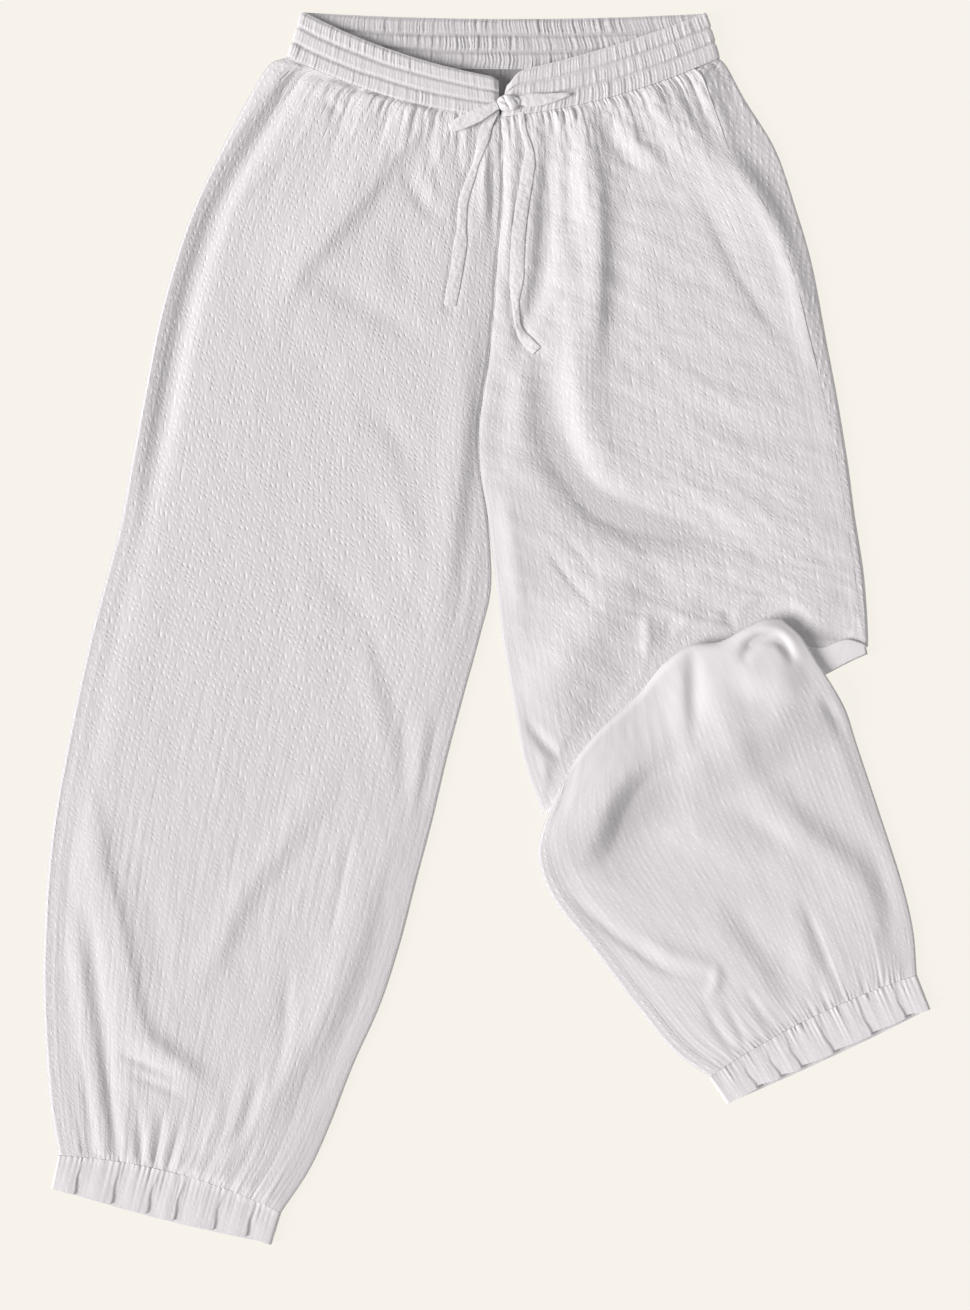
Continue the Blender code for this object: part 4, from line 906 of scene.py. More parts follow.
def front_panel(name, rows, folds, material, look, each, curl_at_a, puff, waist=None, ankle=None,
                base=None, cap=None, rolled=False, band_seed=0):
    """The upper layer of a leg: from the side seam on top, across, and down round the other side.

    each is the number of columns for a stripe, and waist and ankle are the gathers there. base gives the
    height of what the panel lies on at a place, and cap the most that it may rise."""
    w, angle, stripe = front_columns(rows, each, curl_at_a)
    width = rows.width[:, None]
    from_centre = w if curl_at_a else width - w
    from_seam = (width - w if curl_at_a else w) - (rows.seam + SEAM_GAP / 4)[:, None]
    s, t = stripe * STRIPE, np.broadcast_to(rows.at[:, None], w.shape)
    plan = rows.plan(w)
    loft, calm = crown(rows, w, curl_at_a)
    folded = fold_relief(folds, plan) * calm
    loose = 1 - under_tails(plan)
    at = Places(w / width, t, calm, loose)
    near_waist = bell(t / 70) if waist else 0
    height = loft + folded - 0.9 * (1 - loose)
    height += crumple_relief(s, t, look) * calm * loose * (1 + 0.9 * near_waist)
    height += 0.45 * uneven(s / 4.5, t / 9, 1.0, look.seed + 13) * near_waist * calm * loose
    height += seam_profile(look, from_seam, t)
    if waist:
        height = waist_height(height, at, waist, look, curl_at_a, band_seed)
    if ankle:
        height = ankle_height(height, at, rows.length - t, ankle, look)
    height = soften_above(height, FLAT_LOFT)
    if cap is not None:
        height = soften_below(height, cap(plan))
    height -= look.tuck * bell(from_seam / 2.2)
    height -= 1.1 * (1 - rows.curl[:, None]) * bell(from_centre / 2.0)
    puff = puff(at.share, t)
    # Painted shade where the cloth turns over at a left side and in the troughs of its folds, and painted
    # light where it turns over at a right side.
    painted_shading = side_shade(curl_at_a) * np.sin(angle) ** 2 + 0.5 * np.clip(-folded / 6, 0, 1)
    relief = seersucker_relief(stripe, t / STRIPE, puff, look)
    relief = relief * np.clip(np.minimum(from_seam, from_centre) / 6, 0.15, 1) * loose
    middle = EDGE_LOFT / 2 + SEAM_GAP / 2
    lift = middle + (height - middle) * np.cos(angle)
    outward = -1 if curl_at_a else 1
    normal = rows.facing(outward * np.sin(angle), np.cos(angle))
    if rolled:
        lift, normal, relief = roll_edge(plan, lift, middle, normal, relief)
        # Painted light on the rolled shin near its upper edge, towards the right.
        painted_shading = painted_shading - 0.5 * smoothstep((75 - t) / 45) * smoothstep((plan[..., 0] - 110) / 40)
    if base is not None:
        lift = lift + base(plan)
    surface = lifted(plan, lift)
    keep = (kept(len(rows.at), INSIDE_STEP, CURL_STEPS + 1 if rolled else 2, 2),
            kept(w.shape[1], INSIDE_STEP, *(CURL_STEPS, 2)[::-outward]))
    place = np.stack([stripe, t / STRIPE], axis=-1)
    return cloth_piece(name, surface + relief[..., None] * normal, surface - CLOTH * normal, keep, place,
                       material, puff, painted_shading)


def back_columns(rows, curl_at_a):
    """Columns of a back panel: its strip on top, the turn round the seam side, the flat back, the far side.

    Gives their distance from side a, the angle turned, the side that each turns round, and how many
    columns the strip and the turn have."""
    curl_w, curl_angle = turned_columns(rows, False, rows.curl)
    round_angle = np.linspace(math.pi, 0, WRAP_STEPS + 1)
    inset = EDGE_RADIUS * (1 - np.sin(round_angle))
    near = np.full_like(rows.width, EDGE_RADIUS)
    strip_count = 2 + round((rows.seam.max() - EDGE_RADIUS) / STRIP_SPACING)
    strip_w = middle_columns(rows.seam - SEAM_GAP / 4, near, strip_count)[:, :-1]
    wrap_w = np.hstack([strip_w, np.tile(inset, (len(rows.at), 1))])
    wrap_angle = np.hstack([np.full_like(strip_w, math.pi), np.tile(round_angle, (len(rows.at), 1))])
    far = rows.width - (SEAM_GAP / 2 + EDGE_RADIUS)
    middle = middle_columns(near, far, round(rows.width.max() / BACK_ACROSS))[:, 1:]
    w = np.hstack([wrap_w, middle, curl_w])
    angle = np.hstack([wrap_angle, np.zeros_like(middle), curl_angle])
    wrapped = wrap_w.shape[1]
    side = np.ones(w.shape[1])
    side[:wrapped] = -1
    if curl_at_a:
        w, angle, side = (rows.width[:, None] - w)[:, ::-1], angle[:, ::-1], -side[::-1]
    return w, angle, side, wrapped


def back_panel(name, rows, top_rows, folds, material, look, curl_at_a, inside=None, base=None):
    """The lower layer of a leg: flat below, round the seam side to the side seam on top.

    inside is given where the waist is open, so that the inner side shows and has gathers of its own. It is
    a darker copy of the cloth, painted shade on that inner side, which also gets painted shade near the
    middle of the waist."""
    width = rows.width[:, None]
    w, angle, side, wrapped = back_columns(rows, curl_at_a)
    on_top = angle > math.pi - 1e-6
    curling = (side > 0) != curl_at_a
    top_w = w + (top_rows.width - rows.width)[:, None] if curl_at_a else w
    on_front = np.where(curling, 0, (1 - np.cos(angle)) / 2)
    plan = rows.plan(w) * (1 - on_front[..., None]) + top_rows.plan(top_w) * on_front[..., None]
    loft, calm = crown(rows, w, curl_at_a)
    share = w / width
    t = np.broadcast_to(rows.at[:, None], w.shape)
    edge_gap = np.abs((width - w if curl_at_a else w) - rows.seam[:, None])
    top = loft + (fold_relief(folds, plan) + 0.6 * crumple_relief(w, t, look)) * calm
    top = soften_above(top + seam_profile(look, -edge_gap, t), FLAT_LOFT)
    if inside:
        top += 0.6 * uneven(w / 5, t / 10, 1.0, look.seed + 13) * bell(t / 90)
        top += 0.8 * gathers(share, t, *WAIST_BACK_GATHERS, look.seed + 2)
        top += (BAND_LOFT - 0.5 - top) * bell(t / 5)
    top -= look.tuck * bell(edge_gap / 2.2)
    half = np.where(curling, EDGE_LOFT / 2 - SEAM_GAP / 2, EDGE_LOFT / 2)
    height = np.where(on_top, top, half * (1 - np.cos(angle)))
    normal = rows.facing(side * np.sin(angle), -np.cos(angle))
    if base is not None:
        height = height + base(plan)
    surface = lifted(plan, height)
    relief = seersucker_relief(w / STRIPE, t / STRIPE, np.full_like(w, 0.45), look)
    relief = relief * smoothstep(on_front * 2 - 0.6) * np.clip(edge_gap / 5, 0.15, 1)
    inner = surface - CLOTH * normal
    keep_rows = kept(len(rows.at), INSIDE_STEP, 2, 2)
    keep_columns = kept(w.shape[1], INSIDE_STEP, *(wrapped + 2, CURL_STEPS)[:: -1 if curl_at_a else 1])
    # How far the cloth has turned over round its side. Scaled by the side, it becomes painted shade on a
    # left side and painted light on a right side, and it also sets how strongly the puckers show there.
    painted_shading = np.where(curling, 0, np.sin(angle) ** 2)
    shade = painted_shading * side_shade(not curl_at_a)
    if inside:
        rise = 0.9 + gathers(share, t, *WAIST_INSIDE_GATHERS, look.seed + 2)
        rise = np.maximum(rise, -0.6) * smoothstep((t - 0.8) / 3)
        inner[..., 2] += np.where(angle == 0, rise * np.exp(-t / 30), 0)
        keep_rows = kept(len(rows.at), INSIDE_STEP, int((rows.at < 45).sum()), 2)
        keep_columns = np.arange(w.shape[1])
        # Painted shade on the inner side near the middle of the open waist, under the front band.
        shade = shade + 1.6 * bell((w if curl_at_a else width - w) / 34) * bell(t / 30)
    return cloth_piece(name, surface + relief[..., None] * normal, inner, (keep_rows, keep_columns),
                       np.stack([w, t], axis=-1) / STRIPE, material,
                       np.where(on_top, 0.95, 0.4 + 0.6 * painted_shading), shade, inside)


def band_columns(rows, spacing, curl_a=True, curl_b=True):
    """Columns of a band, with rounded ends where a side is folded."""
    start = np.full_like(rows.width, SEAM_GAP / 2 + EDGE_RADIUS * curl_a)
    end = rows.width - SEAM_GAP / 2 - EDGE_RADIUS * curl_b
    w = middle_columns(start, end, round(rows.width.max() / spacing))
    angle, side = np.zeros_like(w), np.zeros(w.shape[1])
    for folded, order in ((curl_a, 1), (curl_b, -1)):
        if folded:
            more, turned = turned_columns(rows, order == 1, np.ones_like(rows.width))
            w = np.hstack([more, w][::order])
            angle = np.hstack([turned, angle][::order])
            side = np.hstack([np.full(CURL_STEPS, -order), side][::order])
    return w, angle, side


def tube_surface(rows, plan, angle, side, loft, is_front):
    """Points on the upper or lower half of a flat tube of cloth, and directions out of it."""
    upright = 1.0 if is_front else -1.0
    half = loft / 2 - SEAM_GAP / 2
    height = loft / 2 + upright * (SEAM_GAP / 2 + half * np.cos(angle))
    return lifted(plan, height), rows.facing(side * np.sin(angle), upright * np.cos(angle))


def band_relief(share, down, count, seed, creased):
    """Three elastic channels, each closely creased across and tucked under at its lower stitch line.

    creased says how strongly each channel is. Gives the height, and the painted shade at each place, from
    0 to 1, which is how deep in a crease or groove it lies."""
    total = np.zeros_like(share)
    down = down + 0.011 * uneven(9 * share, 3 * down, 1.0, seed + 12)
    channel = np.clip(np.floor(down * 3), 0, 2)
    inside = np.clip(down * 3 - channel, 0, 1)
    tuck = np.where(channel == 2, 0.4, 1)
    step = smoothstep(inside / 0.26) * (1 - tuck * smoothstep((inside - 0.84) / 0.16))
    for number in range(3):
        leaning = share + 0.0018 * np.sin(5 * inside + number)
        leaning = leaning + 0.003 * uneven(60 * share, inside, 1.0, seed + number)
        fine = pleats(leaning, count, seed + number, 0.4)[0]
        coarse = pleats(leaning, count // 3, seed + 5 + number, 0.5)[0]
        total += (channel == number) * (1.25 * fine + 1.0 * coarse)
    loose = np.clip(0.8 + 0.7 * uneven(11 * share + 2.4 * channel, inside, 1.0, seed + 9), 0.3, 1.15)
    loose = loose * np.array(creased)[channel.astype(int)]
    # Painted shade in the creases and in the grooves by the stitch lines.
    deep = 0.6 * loose * (1 - np.clip(total / 1.2, 0, 1)) ** 1.3
    groove = bell(inside / 0.07) * (channel > 0) + bell((1 - inside) / 0.09) * (channel < 2)
    return 1.7 * step + loose * (total - 1.1) * (0.35 + 0.65 * step), np.clip(deep + 0.75 * groove, 0, 1)


def opening_curl(rows, w, down, right):
    """How the end of a front band at the middle opening is drawn in, rounded off and turned under."""
    from_end = rows.width[:, None] - w if right else w
    upper = np.clip(1 - 1.15 * down, 0, 1)
    sideways, drop, reach = (2.6, 1.6, 3.0) if right else (-6.0, 8.5, 6.0)
    moved = rows.along[:, None] * (sideways * bell(from_end / 8) * upper)[..., None]
    moved = moved + rows.down[:, None] * (drop * bell(from_end / reach) * upper**1.5)[..., None]
    return lifted(moved, -2.6 * bell(from_end / 3))


def band_piece(name, table, count, ends, is_front, material, seed, creased):
    """Part of the waistband. ends says which of its ends are folded, and count how many creases it has."""
    rows = Sections(table, BAND_ALONG)
    w, angle, side = band_columns(rows, BAND_ACROSS, *ends)
    share = w / rows.width[:, None]
    down = np.broadcast_to((rows.at / rows.length)[:, None], w.shape)
    relief, deep = band_relief(share, down, count, seed, creased)
    relief = relief * (0.35 + 0.65 * np.cos(angle))
    surface, normal = tube_surface(rows, rows.plan(w), angle, side, BAND_LOFT, is_front)
    if is_front:
        surface[..., 2] += waist_arch((share + (not ends[0])) / 2)
        surface += opening_curl(rows, w, down, ends[0])
        outer, inner = surface + relief[..., None] * normal, surface - BAND_CLOTH * normal
    else:
        room = 0.75 + 0.06 * waist_arch(share)
        outer, inner = surface - (CLOTH + room * (relief + 1.1))[..., None] * normal, surface
        outer[-1, :, :2] += 0.7 * rows.down[-1]
    keep = kept(w.shape[0], 3), kept(w.shape[1], 3, CURL_STEPS, CURL_STEPS)
    place = np.stack([share * count, down * 8], axis=-1)
    # The depth in creases and grooves goes to the material as painted shade.
    return cloth_piece(name, outer, inner, keep, place, material, np.ones_like(w), deep)


def frill_piece(name, frill, is_front, material):
    """Half of an ankle frill: pleats that lap over each other, open out from the elastic to the hem."""
    rows = Sections(frill.table, FRILL_ALONG, SEAM_GAP if is_front else 2 * SEAM_GAP)
    w, angle, side = band_columns(rows, FRILL_ACROSS)
    share = (w - w[:, :1]) / (w[:, -1:] - w[:, :1])
    opening = np.broadcast_to((rows.at / rows.length)[:, None], w.shape)
    plan = rows.plan(w)
    relief = np.zeros_like(w)
    if is_front:
        edges = np.array(frill.pleats)
        bent = share + 0.004 * np.sin(9 * opening + 3)
        number = np.clip(np.searchsorted(edges, bent, side="right") - 1, 0, len(edges) - 2)
        inside = np.clip((bent - edges[number]) / (edges[number + 1] - edges[number]), 0, 1)
        lap = smoothstep(inside / 0.7) * (1 - smoothstep((inside - 0.94) / 0.06))
        fine = pleats(share, 44, frill.seed + 1, 0.6)[0]
        some = pleats(share, 19, frill.seed + 2, 0.6)[0]
        relief = frill.lap_rise * lap * (0.1 + 0.9 * opening) + 0.7 * (some - 0.4) * (1 - 0.85 * opening)
        patch = 0.75 + 0.9 * uneven(26 * share, 3 * opening, 1.0, frill.seed + 4)
        relief += 1.5 * (fine - 0.4) * np.exp(-opening / 0.4) * patch
        relief += 0.5 * bell(rows.at[:, None] / 2.5)
        relief *= np.cos(angle) ** 2
        short = frill.hem_lift * opening * smoothstep(share / 0.2) * smoothstep((1 - share) / 0.1)
        plan = plan - rows.down[:, None] * (short * (1 - 0.4 * lap))[..., None]
    surface, normal = tube_surface(rows, plan, angle, side, EDGE_LOFT, is_front)
    inner = surface - CLOTH * normal
    inner[..., 2] += relief * 0.7
    keep = kept(w.shape[0], 2), kept(w.shape[1], 2, CURL_STEPS, CURL_STEPS)
    place = np.stack([share * rows.width.max() / STRIPE, opening * 6], axis=-1)
    return cloth_piece(name, surface + relief[..., None] * normal, inner, keep, place, material,
                       np.full_like(w, 0.35))


def shin_base(plan):
    """Height of the shin's underside: on the knee fold, then down a ramp to the surface."""
    start, end = (np.array((row.x, row.y), float) for row in (KNEE_FOLD[0], KNEE_FOLD[-1]))
    run = (end - start) / np.linalg.norm(end - start)
    x, y = plan[..., 0], plan[..., 1]
    past = run[1] * (x - start[0]) - run[0] * (y - start[1])
    rest = SHIN_REST + 1.5 * smoothstep((x - 150) / 70) - 2.5 * smoothstep((x - 235) / 30)
    return rest * (1 - smoothstep((past - KNEE_NOSE - SHIN_RAMP_SETBACK) / SHIN_RAMP))


def below_shin(plan):
    """The most that the thigh's cloth may rise, where the folded shin lies on it or near it."""
    gap, side, _ = distance_to_line(plan, smooth_line(KNEE_COVER, 50))
    outside = np.where(side > 0, gap, 0)
    return EDGE_LOFT + CAP_RISE * smoothstep((outside - CAP_MARGIN) / CAP_FADE)


def knee_fold(material):
    """The layers turned back at the knee, with a groove between them at their rims."""
    table = np.array(KNEE_FOLD, float)
    reach = reach_along(table[:, :2])
    points = []
    for row in smooth(np.linspace(0, reach[-1], 120), reach, table):
        edges = {"front": row[:2], "back": row[2:4], "middle": (row[:2] + row[2:4]) / 2}
        out = edges["front"] - edges["back"]
        out /= np.linalg.norm(out)
        for corner in KNEE_OUTLINE:
            thick = (KNEE_TOP - KNEE_FLOOR) * row[4] if corner.level > 0 else KNEE_FLOOR
            points.append((*(edges[corner.edge] + out * corner.out), KNEE_FLOOR + corner.level * thick))
    around = len(KNEE_OUTLINE)
    faces = ring_faces(len(points) // around, around)
    for first in (0, len(points) - around):
        cap = tessellate_polygon([[Vector(point) for point in points[first : first + around]]])
        faces += [tuple(first + k for k in triangle) for triangle in cap]
    mesh = new_mesh("knee_layers", points, faces, material, recalculated=True)
    for loop, place in zip(mesh.loops, mesh.uv_layers.new(name="cloth").data):
        x, y, z = mesh.vertices[loop.vertex_index].co / MM
        place.uv = (x / STRIPE, (y + z) / STRIPE)
    return add_object("knee_layers", mesh)


def surface_below(pieces):
    """A function that gives the height of the cloth already laid at a place."""
    trees = []
    for piece in pieces:
        corners = [tuple(face.vertices) for face in piece.data.polygons]
        trees.append(BVHTree.FromPolygons([v.co for v in piece.data.vertices], corners))

    def height(x, y):
        hits = [tree.ray_cast(Vector((x * MM, y * MM, 1.0)), Vector((0, 0, -1)))[0] for tree in trees]
        return max([hit.z / MM for hit in hits if hit is not None], default=0.0)

    return height


class Value:
    """A number in a material's nodes. Adding to it, or any other step, makes the node that does so."""

    def __init__(self, tree, socket):
        self.tree, self.socket = tree, socket

    def apply(self, operation, other=None):
        node = self.tree.nodes.new("ShaderNodeMath")
        node.operation = operation
        self.tree.links.new(self.socket, node.inputs[0])
        if isinstance(other, Value):
            self.tree.links.new(other.socket, node.inputs[1])
        elif other is not None:
            node.inputs[1].default_value = other
        return Value(self.tree, node.outputs[0])

    def __add__(self, other):
        return self.apply("ADD", other)

    def __sub__(self, other):
        return self.apply("SUBTRACT", other)

    def __mul__(self, other):
        return self.apply("MULTIPLY", other)

    def __pow__(self, other):
        return self.apply("POWER", other)

    def sine(self):
        return self.apply("SINE")

    def noise(self, scale, detail):
        """Soft random values at the place that this value is."""
        node = self.tree.nodes.new("ShaderNodeTexNoise")
        node.inputs["Scale"].default_value = scale
        node.inputs["Detail"].default_value = detail
        self.tree.links.new(self.socket, node.inputs["Vector"])
        return Value(self.tree, node.outputs["Fac"])


def attribute(tree, name):
    node = tree.nodes.new("ShaderNodeAttribute")
    node.attribute_name = name
    return Value(tree, node.outputs["Fac"])


def object_place(tree):
    return Value(tree, tree.nodes.new("ShaderNodeTexCoord").outputs["Object"])


def new_material(name, settings):
    """A material whose shader has some settings of its own, with its node tree and that shader."""
    material = bpy.data.materials.new(name)
    material.use_nodes = True
    shader = material.node_tree.nodes["Principled BSDF"]
    for setting, value in settings.items():
        shader.inputs[setting].default_value = value
    return material, material.node_tree, shader


def add_bumps(shader, height, rise):
    bump = height.tree.nodes.new("ShaderNodeBump")
    bump.inputs["Strength"].default_value = 1.0
    bump.inputs["Distance"].default_value = rise * MM
    height.tree.links.new(height.socket, bump.inputs["Height"])
    height.tree.links.new(bump.outputs["Normal"], shader.inputs["Normal"])


def add_tint(shader, share, dark, pale, clamped=True):
    """Colour that runs from a dark one, where the share is 0, to a pale one, where it is 1."""
    tint = share.tree.nodes.new("ShaderNodeMix")
    tint.data_type = "RGBA"
    tint.clamp_factor = clamped
    tint.inputs["A"].default_value = (*dark, 1)
    tint.inputs["B"].default_value = (*pale, 1)
    share.tree.links.new(share.socket, tint.inputs["Factor"])
    share.tree.links.new(tint.outputs["Result"], shader.inputs["Base Color"])


def seersucker(name, rise, weave=0.3, wrinkle=0.6, painted_brightness=1.0):
    """White cotton with lengthwise stripes of small slanting puckers. The UV map counts stripes."""
    settings = {"Roughness": 0.9, "Specular IOR Level": 0.25, "Sheen Weight": 0.1, "Sheen Roughness": 0.5}
    material, tree, shader = new_material(name, settings)
    cloth_map = tree.nodes.new("ShaderNodeUVMap")
    cloth_map.uv_map = "cloth"
    place = Value(tree, cloth_map.outputs["UV"])
    split = tree.nodes.new("ShaderNodeSeparateXYZ")
    tree.links.new(place.socket, split.inputs[0])
    across, along = Value(tree, split.outputs[0]), Value(tree, split.outputs[1])
    puff, painted_shading = attribute(tree, "puff"), attribute(tree, "painted_shading")
    stripe = (across + 1e-6).apply("FLOOR")
    inside = across - stripe
    lane = (inside * math.pi).sine().apply("ABSOLUTE") ** 3.0
    wave = (pucker_turn(inside, stripe, along, Value.sine) * (2 * math.pi)).sine() * 0.5 + 0.5
    patches = (place.noise(0.75, 2.0) - 0.3) * 4.2
    crest = wave**2.4 * lane * patches.apply("MAXIMUM", 0.15).apply("MINIMUM", 1.35) * puff
    drawn = tree.nodes.new("ShaderNodeCombineXYZ")
    tree.links.new((across * 1.7).socket, drawn.inputs[0])
    tree.links.new((along * 0.3).socket, drawn.inputs[1])
    wrinkles = Value(tree, drawn.outputs[0]).noise(1.0, 3.0)
    creased = wrinkles * (puff * 3.0 + 0.1).apply("MINIMUM", 1.0)
    add_bumps(shader, crest + place.noise(5.0, 3.0) * weave + creased * (wrinkle * 2), rise)
    # Colour: a painted highlight on the crests of the puckers, paler where the wrinkle noise stands up, and
    # the painted shade and painted light of the mesh's shading attribute.
    shade = crest * 0.6 + 0.1 + wrinkles * 0.5 - painted_shading * 0.9
    # A brightness above 1 makes a lighter copy of the cloth, painted light, and one below 1 a darker copy,
    # painted shade.
    dark, pale = (0.755 * painted_brightness, 0.752 * painted_brightness, 0.762 * painted_brightness), (0.965 * painted_brightness, 0.962 * painted_brightness, 0.97 * painted_brightness)
    add_tint(shader, shade, dark, pale, clamped=False)
    return material


def tape_cotton(name):
    """White cotton tape cut from the same puckered cloth, with a fine weave."""
    material, tree, shader = new_material(name, {"Roughness": 0.8, "Specular IOR Level": 0.3})
    weave, pucker_height_and_highlight = object_place(tree).noise(1100.0, 2.0), object_place(tree).noise(260.0, 1.0)
    add_bumps(shader, weave * 0.12 + pucker_height_and_highlight, 0.9)
    # The colour follows the same pucker noise as the bumps, so raised puckers are paler: a painted
    # highlight.
    add_tint(shader, pucker_height_and_highlight, (0.82, 0.817, 0.827), (0.99, 0.987, 0.99))
    return material


def sewing_thread():
    """White cotton thread with its twist."""
    material, tree, shader = new_material("sewing_thread", {"Roughness": 0.6})
    add_tint(shader, object_place(tree).noise(3000.0, 1.0), (0.74, 0.737, 0.747), (0.92, 0.917, 0.925))
    return material


def tape(name, line, across, thick, widths, material, seed):
    """A flat tape swept along a line of points in space, as one closed tube.

    across gives its width direction at each point and thick the direction of its upper face."""
    shape = np.array(TAPE_SHAPE)
    rings = []
    for k, (spot, side, up, wide) in enumerate(zip(line, across, thick, widths)):
        crinkle = 0.4 * uneven(0.55 * k, shape[:, 0] * wide / 3, 1.0, seed) * (shape[:, 1] > 0.55)
        rise = shape[:, 1] * TAPE_CLOTH / 1.2 + crinkle
        rings.append(spot + side * (shape[:, :1] * wide / 2) + up * rise[:, None])
    around, last = len(shape), (len(rings) - 1) * len(shape)
    points = np.concatenate([*rings, rings[0].mean(0)[None], rings[-1].mean(0)[None]])
    faces = ring_faces(len(rings), around)
    for k in range(around):
        d = (k + 1) % around
        faces += [(last + around, d, k), (last + around + 1, last + k, last + d)]
    return add_object(name, new_mesh(name, points, faces, material, TAPE_EDGE, recalculated=True))


def frame_along(line):
    """Heading and across directions in plan at each point of a line."""
    heading = np.gradient(line, axis=0)
    heading /= np.linalg.norm(heading, axis=1)[:, None]
    return heading, np.stack([heading[:, 1], -heading[:, 0]], axis=1)


def averaged(values, reach):
    """Each value averaged with the values up to reach places away."""
    count = 2 * reach + 1
    return np.convolve(np.pad(values, reach, mode="edge"), np.ones(count) / count, mode="valid")


def cloth_under(line, across, half, below):
    """Height of the cloth at the left edge, the middle and the right edge of a tape laid along a line."""
    places = np.linspace(-1.05, 1.05, 5)
    spots = line[:, None] + across[:, None] * half[:, None, None] * places[:, None]
    laid = np.array([[below(*spot) for spot in row] for row in spots])
    high = np.pad(laid, ((3, 3), (1, 1)), mode="edge")
    high = np.max([high[i : i + len(laid) + 4, j : j + 5] for i in range(3) for j in range(3)], axis=0)
    high = np.mean([high[i : i + len(laid)] for i in range(5)], axis=0)
    high = np.maximum(high, laid)
    return high[:, 0], high[:, 1:4].max(1), high[:, 4]


def tape_tail(tail, below, material):
    """A free tail of the drawstring, draped over the cloth under it, and the line it takes."""
    line = smooth_line(tail.route, 110)
    _, across = frame_along(line)
    share = np.linspace(0, 1, len(line))
    wide = np.interp(share, *zip(*tail.widths)) + 0.07 * uneven(40 * share, 0, 1.0, tail.seed + 1)
    wide = averaged(TAPE_WIDTH * wide, 3)
    left, middle, right = cloth_under(line, across, wide / 2, below)
    roll = np.arctan2(right - left, wide)
    sides = lifted(across * np.cos(roll)[:, None], np.sin(roll))
    ups = lifted(-across * np.sin(roll)[:, None], np.cos(roll))
    points = lifted(line, np.maximum(middle, (left + right) / 2) + 0.3)
    return tape(tail.name, points, sides, ups, wide, material, tail.seed), points


def tape_loop(loop, below, material):
    """One loop of the bow: the tape runs out, turns at the tip and comes back on top of itself."""
    out = smooth_line(loop.route, 26)
    heading, across = frame_along(out)
    share = np.linspace(0, 1, len(out))
    wide = TAPE_WIDTH * np.interp(share, *zip(*loop.widths))
    rest = np.max(cloth_under(out, across, wide / 2, below), axis=0) + 0.4
    rest = averaged([rest[max(0, k - 5) : k + 6].max() for k in range(len(rest))], 4)
    bulge = 0.95 * np.interp(share, (0, 0.4, 1), (0.9, 1.1, 0.8))
    tip = len(out) - 1
    round_tip = np.linspace(0, math.pi, 10)
    number = np.array([*range(tip), *[tip] * len(round_tip), *reversed(range(tip))])
    angle = np.concatenate([np.zeros(tip), round_tip, np.full(tip, math.pi)])
    ups = lifted(heading[number] * np.sin(angle)[:, None], -np.cos(angle))
    points = lifted(out[number], (rest + 0.4 + bulge)[number]) + ups * bulge[number, None]
    sides = lifted(across[number], np.zeros(len(number)))
    return tape(loop.name, points, sides, ups, wide[number], material, loop.seed)


def from_strap(x, y):
    """Distance from the middle of the strap over the knot, counted in half widths of the strap."""
    return (0.88 * (x - 2.2) + 0.47 * (y - 1)) / 2.9


def knot(below, material):
    """The tied knot: a squashed, creased ball with a strap of tape drawn slantwise over it."""
    centre = np.array(KNOT_CENTRE)
    wide, deep, tall = KNOT_SIZE
    beneath = [centre + (wide / 2 * i, deep / 2 * j) for i in (-1, 0, 1) for j in (-1, 0, 1)]
    rest = max(below(*place) for place in beneath) + 0.7
    around, levels = KNOT_AROUND, KNOT_LEVELS
    up = math.pi * np.arange(1, levels)[:, None] / levels
    turn = 2 * math.pi * np.arange(around) / around
    reach = np.sin(up) ** np.where(up < math.pi / 2, 1.4, 0.75)
    x, y = wide / 2 * reach * np.cos(turn), deep / 2 * reach * np.sin(turn)
    slant = from_strap(x, y)
    strap = np.exp(-(slant**4))
    creases = 0.45 * np.sin(1.25 * y + 0.5 * x) + 0.25 * np.sin(2.3 * y - 0.9 * x)
    rise = 0.8 * strap - 0.9 * bell((np.abs(slant) - 1.3) / 0.28) + creases * (1 - strap)
    height = rest + tall * (1 - np.cos(up)) / 2 + rise * np.maximum(0, -np.cos(up))
    widened = 1 + 0.05 * np.sin(3 * turn + 1) + 0.03 * np.sin(5 * turn)
    ball = lifted(centre + np.stack([x * widened, y * widened], axis=-1), height).reshape(-1, 3)
    top = rest + tall + 0.8 * math.exp(-(from_strap(0, 0) ** 4))
    points = np.concatenate([[(*centre, rest)], ball, [(*centre, top)]])
    faces, last = ring_faces(levels - 1, around, 1), len(points) - 1
    for k in range(around):
        d = (k + 1) % around
        faces += [(0, 1 + d, 1 + k), (last, last - around + k, last - around + d)]
    return add_object("knot", new_mesh("knot", points, faces, material))


